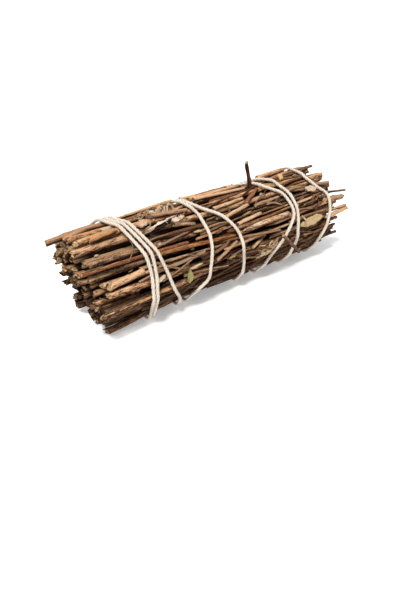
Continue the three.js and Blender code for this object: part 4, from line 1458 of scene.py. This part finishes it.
# %% [markdown]
# ## Bark shreds and crumbs
#
# Dry sage sheds its bark in strips. The flake below is a small grid, thickened, and every shred is a copy
# of it, cut to its own ragged outline, curled and laid on the twigs. The ones that catch the eye in the
# photograph are placed one by one, and the rest are strewn in the hollows.

# %% One flake
bpy.ops.mesh.primitive_grid_add(x_subdivisions=14, y_subdivisions=4, size=2)
flake = bpy.context.object
thicken = flake.modifiers.new("thicken", "SOLIDIFY")
thicken.thickness = 1.0
thicken.offset = 1.0
bpy.ops.object.modifier_apply(modifier=thicken.name)
FLAKE = flake.data
bpy.data.objects.remove(flake)
print("flake corners:", len(FLAKE.vertices))

# %% Lay a flake on the twigs
STATIONS = np.linspace(-1, 1, 7)  # where along a flake the twigs under it are felt for
FLAKE_REACH = 0.05  # mm that its underside clears them by


def flake_bed(place, length, turn):
    """How far out the twigs lie under a flake: a straight slope, and how far they stand above it at most."""
    half = STATIONS * length / 2
    x = place[0] + half * math.cos(turn)
    angle = place[1] + np.degrees(half * math.sin(turn) / BUNDLE_RADIUS)
    under = surface_radius(rods, x, angle, np.full(len(STATIONS), FLAKE_REACH))
    slope = np.polyfit(STATIONS, under, 1)
    return slope, max((under - np.polyval(slope, STATIONS)).max() * SETTLED, 0)


def lay_flake(random, place, size, heading, point, jag, curl, arch, lift, tint):
    """A shred on the twigs. Its place is [x, angle], its size length, width and thickness, all in mm."""
    mesh = FLAKE.copy()
    u, v, w = corners_of(mesh).T
    length, width, thickness = size
    phases = random.uniform(0, ANY_WAY, 6)
    notches = np.sin(7 * u + phases[0]) * 0.5 + np.sin(17 * u + phases[1] + np.sign(v) * 2) * 0.5
    half = width / 2 * np.maximum((1 - np.abs(u) ** 2.4).clip(0) ** point, 0.12) * (1 + jag * notches)
    torn = jag * np.sin(5 * v + phases[2]) * np.abs(u) ** 6
    along, across = length / 2 * (u + torn), v * half
    turn = math.radians(heading)
    x = place[0] + along * math.cos(turn) - across * math.sin(turn)
    round_it = along * math.sin(turn) + across * math.cos(turn)
    slope, stand_off = flake_bed(place, length, turn)
    cup = curl * (across / (width / 2)) ** 2 + arch * u**2
    cup += 0.12 * np.sin(4 * u + phases[3]) * np.sin(3 * v + phases[4])
    out = np.polyval(slope, u) + stand_off + lift + cup * width / 2 + w / np.abs(w).max() * thickness
    spots = in_metres(at_angle(x, place[1] + np.degrees(round_it / BUNDLE_RADIUS), out))
    spots[:, 2] = np.maximum(spots[:, 2], 0)  # the floor flattens it
    move_corners(mesh, spots)
    mark(mesh, "blade", np.stack([along, across, np.full(len(u), phases[5])], axis=1))
    mark(mesh, "tint", np.tile([tint, random.uniform(0, 1), 0, 1], (len(u), 1)))
    return mesh


# %% Finish of the shreds


def shred_finish():
    """Bark seen from inside and out: from nearly black through brown and tan to a pinkish white."""
    material = Material("bark shreds")
    blade = material.attribute("blade")
    tint, other, _ = material.attribute("tint", "Color").split("Color")
    grain = material.noise(material.scaled(blade, (0.7, 5.0, 1.0)), 1.6, 5.0, 0.65)
    mottle = material.noise(material.scaled(blade, (1.2, 1.8, 1.0)), 1.6, 3.0, 0.6)
    tone = tint + grain * 0.5 + mottle * 0.25 - 0.375
    colour = material.ramp(tone, (
        (0.00, (0.008, 0.004, 0.003)),
        (0.25, (0.10, 0.045, 0.022)),
        (0.45, (0.28, 0.150, 0.070)),
        (0.62, (0.48, 0.320, 0.150)),
        (0.80, (0.66, 0.500, 0.330)),
        (1.00, (0.86, 0.760, 0.660)),
    ))
    colour = material.blend(other.above(0.6, 0.9) * 0.35, colour, (0.50, 0.20, 0.10))
    return material.finish(colour, 0.85, grain + mottle * 0.5, 0.0002, 0.8)


# %% [markdown]
# ## The shreds that stand out, and the rest
#
# Some shreds catch the eye: pale curls, white crumbs, a strip of yellow wood, a scar. They are told one
# by one, by place, size and shade. The rest are crumbs, and strewing them by random numbers is enough:
# many in the hollow near the middle of the top, some on the lower side, and a few everywhere.

# %% The shreds that stand out
SHREDS = {  # place, size, heading, then point, jag, curl, arch, lift and tint
    # the first two are near-black sheets of painted shade over hollows between the twigs
    "painted shade in the hollow": ((-31.2, 60.6), (9.5, 3.2, 0.1), 8, 0.25, 0.25, 0.0, 0.0, 0.6, 0.0),
    "painted shade in the gap": ((-28.2, 88.5), (9.0, 3.2, 0.1), 4, 0.30, 0.30, 0.0, 0.0, 0.5, 0.05),
    "torn edge": ((-30.8, 67.0), (9.6, 0.7, 0.25), 8, 0.4, 0.65, 0.6, 0.0, 1.7, 0.92),
    "pale curl": ((-25.0, 64.4), (2.8, 1.4, 0.3), -6, 0.3, 0.45, 0.5, 0.2, 0.9, 0.95),
    "pink shred": ((-21.7, 68.5), (3.0, 1.5, 0.2), 30, 0.4, 0.45, 0.6, 0.3, 0.6, 0.78),
    "pale knob": ((-48.8, 87.5), (4.6, 2.4, 1.0), 10, 0.5, 0.20, -0.5, -0.2, 0.2, 0.74),
    "white crumb": ((-56.6, 59.0), (1.5, 0.8, 0.3), 20, 0.4, 0.40, 0.0, 0.0, 0.1, 0.78),
    "lichen scrap": ((-37.4, 7.2), (3.6, 1.5, 0.25), 20, 0.4, 0.25, 0.3, 0.2, 0.3, 0.85),
    "curled strip": ((-52.6, -9.0), (6.2, 1.0, 0.2), 2, 0.6, 0.25, 0.6, 0.3, 0.5, 0.86),
    "yellow wood": ((-32.6, -22.0), (4.6, 2.2, 0.15), 6, 0.4, 0.25, -0.3, 0.0, 0.1, 0.68),
    "pale splinter": ((-22.4, 6.4), (5.6, 1.0, 0.3), 5, 0.6, 0.25, 0.2, 0.1, 0.3, 0.78),
    "bud": ((-9.2, 38.0), (1.9, 1.1, 0.6), 30, 0.5, 0.30, -0.3, 0.0, 0.2, 0.30),
    "bud scale": ((-7.8, 40.6), (1.4, 0.7, 0.3), -30, 0.5, 0.30, 0.3, 0.2, 0.2, 0.50),
    "white triangle": ((-21.0, 92.0), (2.8, 1.5, 0.2), 20, 0.9, 0.30, 0.3, 0.2, 1.2, 0.97),
    "orange curl": ((-26.5, 91.0), (3.0, 1.2, 0.2), 60, 0.5, 0.40, 0.9, 0.6, 0.8, 0.66),
    "tan curl": ((-24.5, 86.0), (3.4, 1.1, 0.2), 40, 0.5, 0.40, 0.9, 0.6, 0.8, 0.76),
    "tan curl 2": ((-29.0, 88.0), (3.4, 1.0, 0.2), -30, 0.5, 0.40, 0.8, 0.6, 0.8, 0.72),
    "scar": ((8.4, 31.8), (5.2, 1.3, 0.15), 2, 0.5, 0.40, -0.4, 0.0, 0.1, 0.80),
    "peeled strip": ((10.6, -9.6), (5.6, 1.5, 0.25), 22, 0.5, 0.25, 0.4, 0.2, 0.3, 0.70),
    "peeled strip 2": ((13.6, -2.4), (3.8, 1.5, 0.25), 18, 0.4, 0.25, 0.4, 0.1, 0.3, 0.66),
    "olive bark": ((23.8, 84.0), (9.0, 3.2, 0.2), -30, 0.3, 0.15, -0.2, 0.0, 0.1, 0.50),
    "straw": ((34.6, 41.0), (9.0, 0.9, 0.3), 2, 0.4, 0.15, 0.0, 0.1, 0.3, 0.72),
    "scrap by the leaf": ((31.4, 19.5), (2.2, 1.4, 0.2), 60, 0.4, 0.30, 0.4, 0.0, 0.3, 0.76),
    "pink bit": ((30.4, 38.5), (2.6, 1.0, 0.25), -20, 0.4, 0.30, 0.3, 0.2, 0.3, 0.84),
}
random = np.random.default_rng(12)
shreds = []
for place, size, heading, *shape in SHREDS.values():
    shreds.append(lay_flake(random, place, size, heading, *shape))
print("shreds that stand out:", len(shreds))

# %% The other shreds
SHREDDED = 330
SHRED_LENGTHS = (0.8, 3.6)
SHRED_REACH = 0.3  # mm that a strewn shred takes up above the twigs
PATCHES = (  # the share of them here, x and angle from and to, slope in degrees, their lift, arch and tint
    (0.42, (-36, -20), (68, 100), 40, 1.5, 1.2, (0.3, 1.0)),
    (0.10, (7, 17), (-14, 3), 30, 1.1, 0.9, (0.6, 0.8)),
    (0.48, (-50, 46), (-180, 180), 15, 0.5, 0.4, (0.1, 0.8)),
)

shares = [patch[0] for patch in PATCHES]
while len(shreds) < SHREDDED + len(SHREDS):
    _, xs, angles, slope, allowance, most_arch, tints = PATCHES[random.choice(len(PATCHES), p=shares)]
    x, angle, length = random.uniform(*xs), random.uniform(*angles), random.uniform(*SHRED_LENGTHS)
    heading = random.normal(0, slope)
    half = length / 2 * np.array([-1, 0, 1])
    line_x = x + half * math.cos(math.radians(heading))
    line_angle = angle + np.degrees(half * math.sin(math.radians(heading)) / BUNDLE_RADIUS)
    reach = np.full(3, SHRED_REACH)
    out = surface_radius(rods, line_x, line_angle, reach)
    if not fits(at_angle(line_x, line_angle, out), out, reach, allowance):
        continue
    size = (length, random.uniform(0.35, 1.1), random.uniform(0.1, 0.25))
    tint, curl, arch = random.uniform(*tints), random.uniform(0.0, 1.0), random.uniform(0.0, most_arch)
    shreds.append(lay_flake(random, (x, angle), size, heading, 0.5, 0.3, curl, arch, 0.15, tint))
dress(joined("bark_shreds", shreds), shred_finish())
print("shreds:", len(shreds))

# %% [markdown]
# ## Rootlets
#
# A few hair-thin roots and loose fibres curl over the twigs. Each is a thin twig along a smooth route, as
# the twine is, and lies on the surface in the same way.

# %% Rootlets
ROOTLETS = {  # places along each as [x, angle], and its radius in mm
    "arched root": ([[-37.0, 79.0], [-33.5, 88.0], [-29.7, 95.5], [-25.5, 99.0], [-23.2, 93.0]], 0.36),
    "by the first turn": (
        [[-45.6, 73], [-44.6, 66], [-44.0, 57], [-44.6, 50], [-46.4, 43], [-48.0, 38]],
        0.17,
    ),
    "loose hair": ([[-48.0, 69], [-50.0, 67], [-51.6, 63]], 0.13),
    "low root": ([[-59.8, 3], [-56.5, -2], [-52.0, -3], [-48.5, -8]], 0.16),
    "tip curl": ([[47, 30], [51, 33], [54, 30], [56.4, 26]], 0.15),
}
random = np.random.default_rng(31)
rootlets = []
for route, radius in ROOTLETS.values():
    x, angle = rounded_route(route, 0.5)
    reach = np.full(len(x), radius)
    line = at_angle(x, angle, pulled_taut(angle, surface_radius(rods, x, angle, reach), THIN_SPAN))
    rootlets.append(grow("rootlet", THIN_TWIG, in_metres(line), reach * MM, random, (0.75, 0.2)))
dress(joined("rootlets", rootlets), bark_finishes["grey_bark"])
print("rootlets:", len(rootlets))
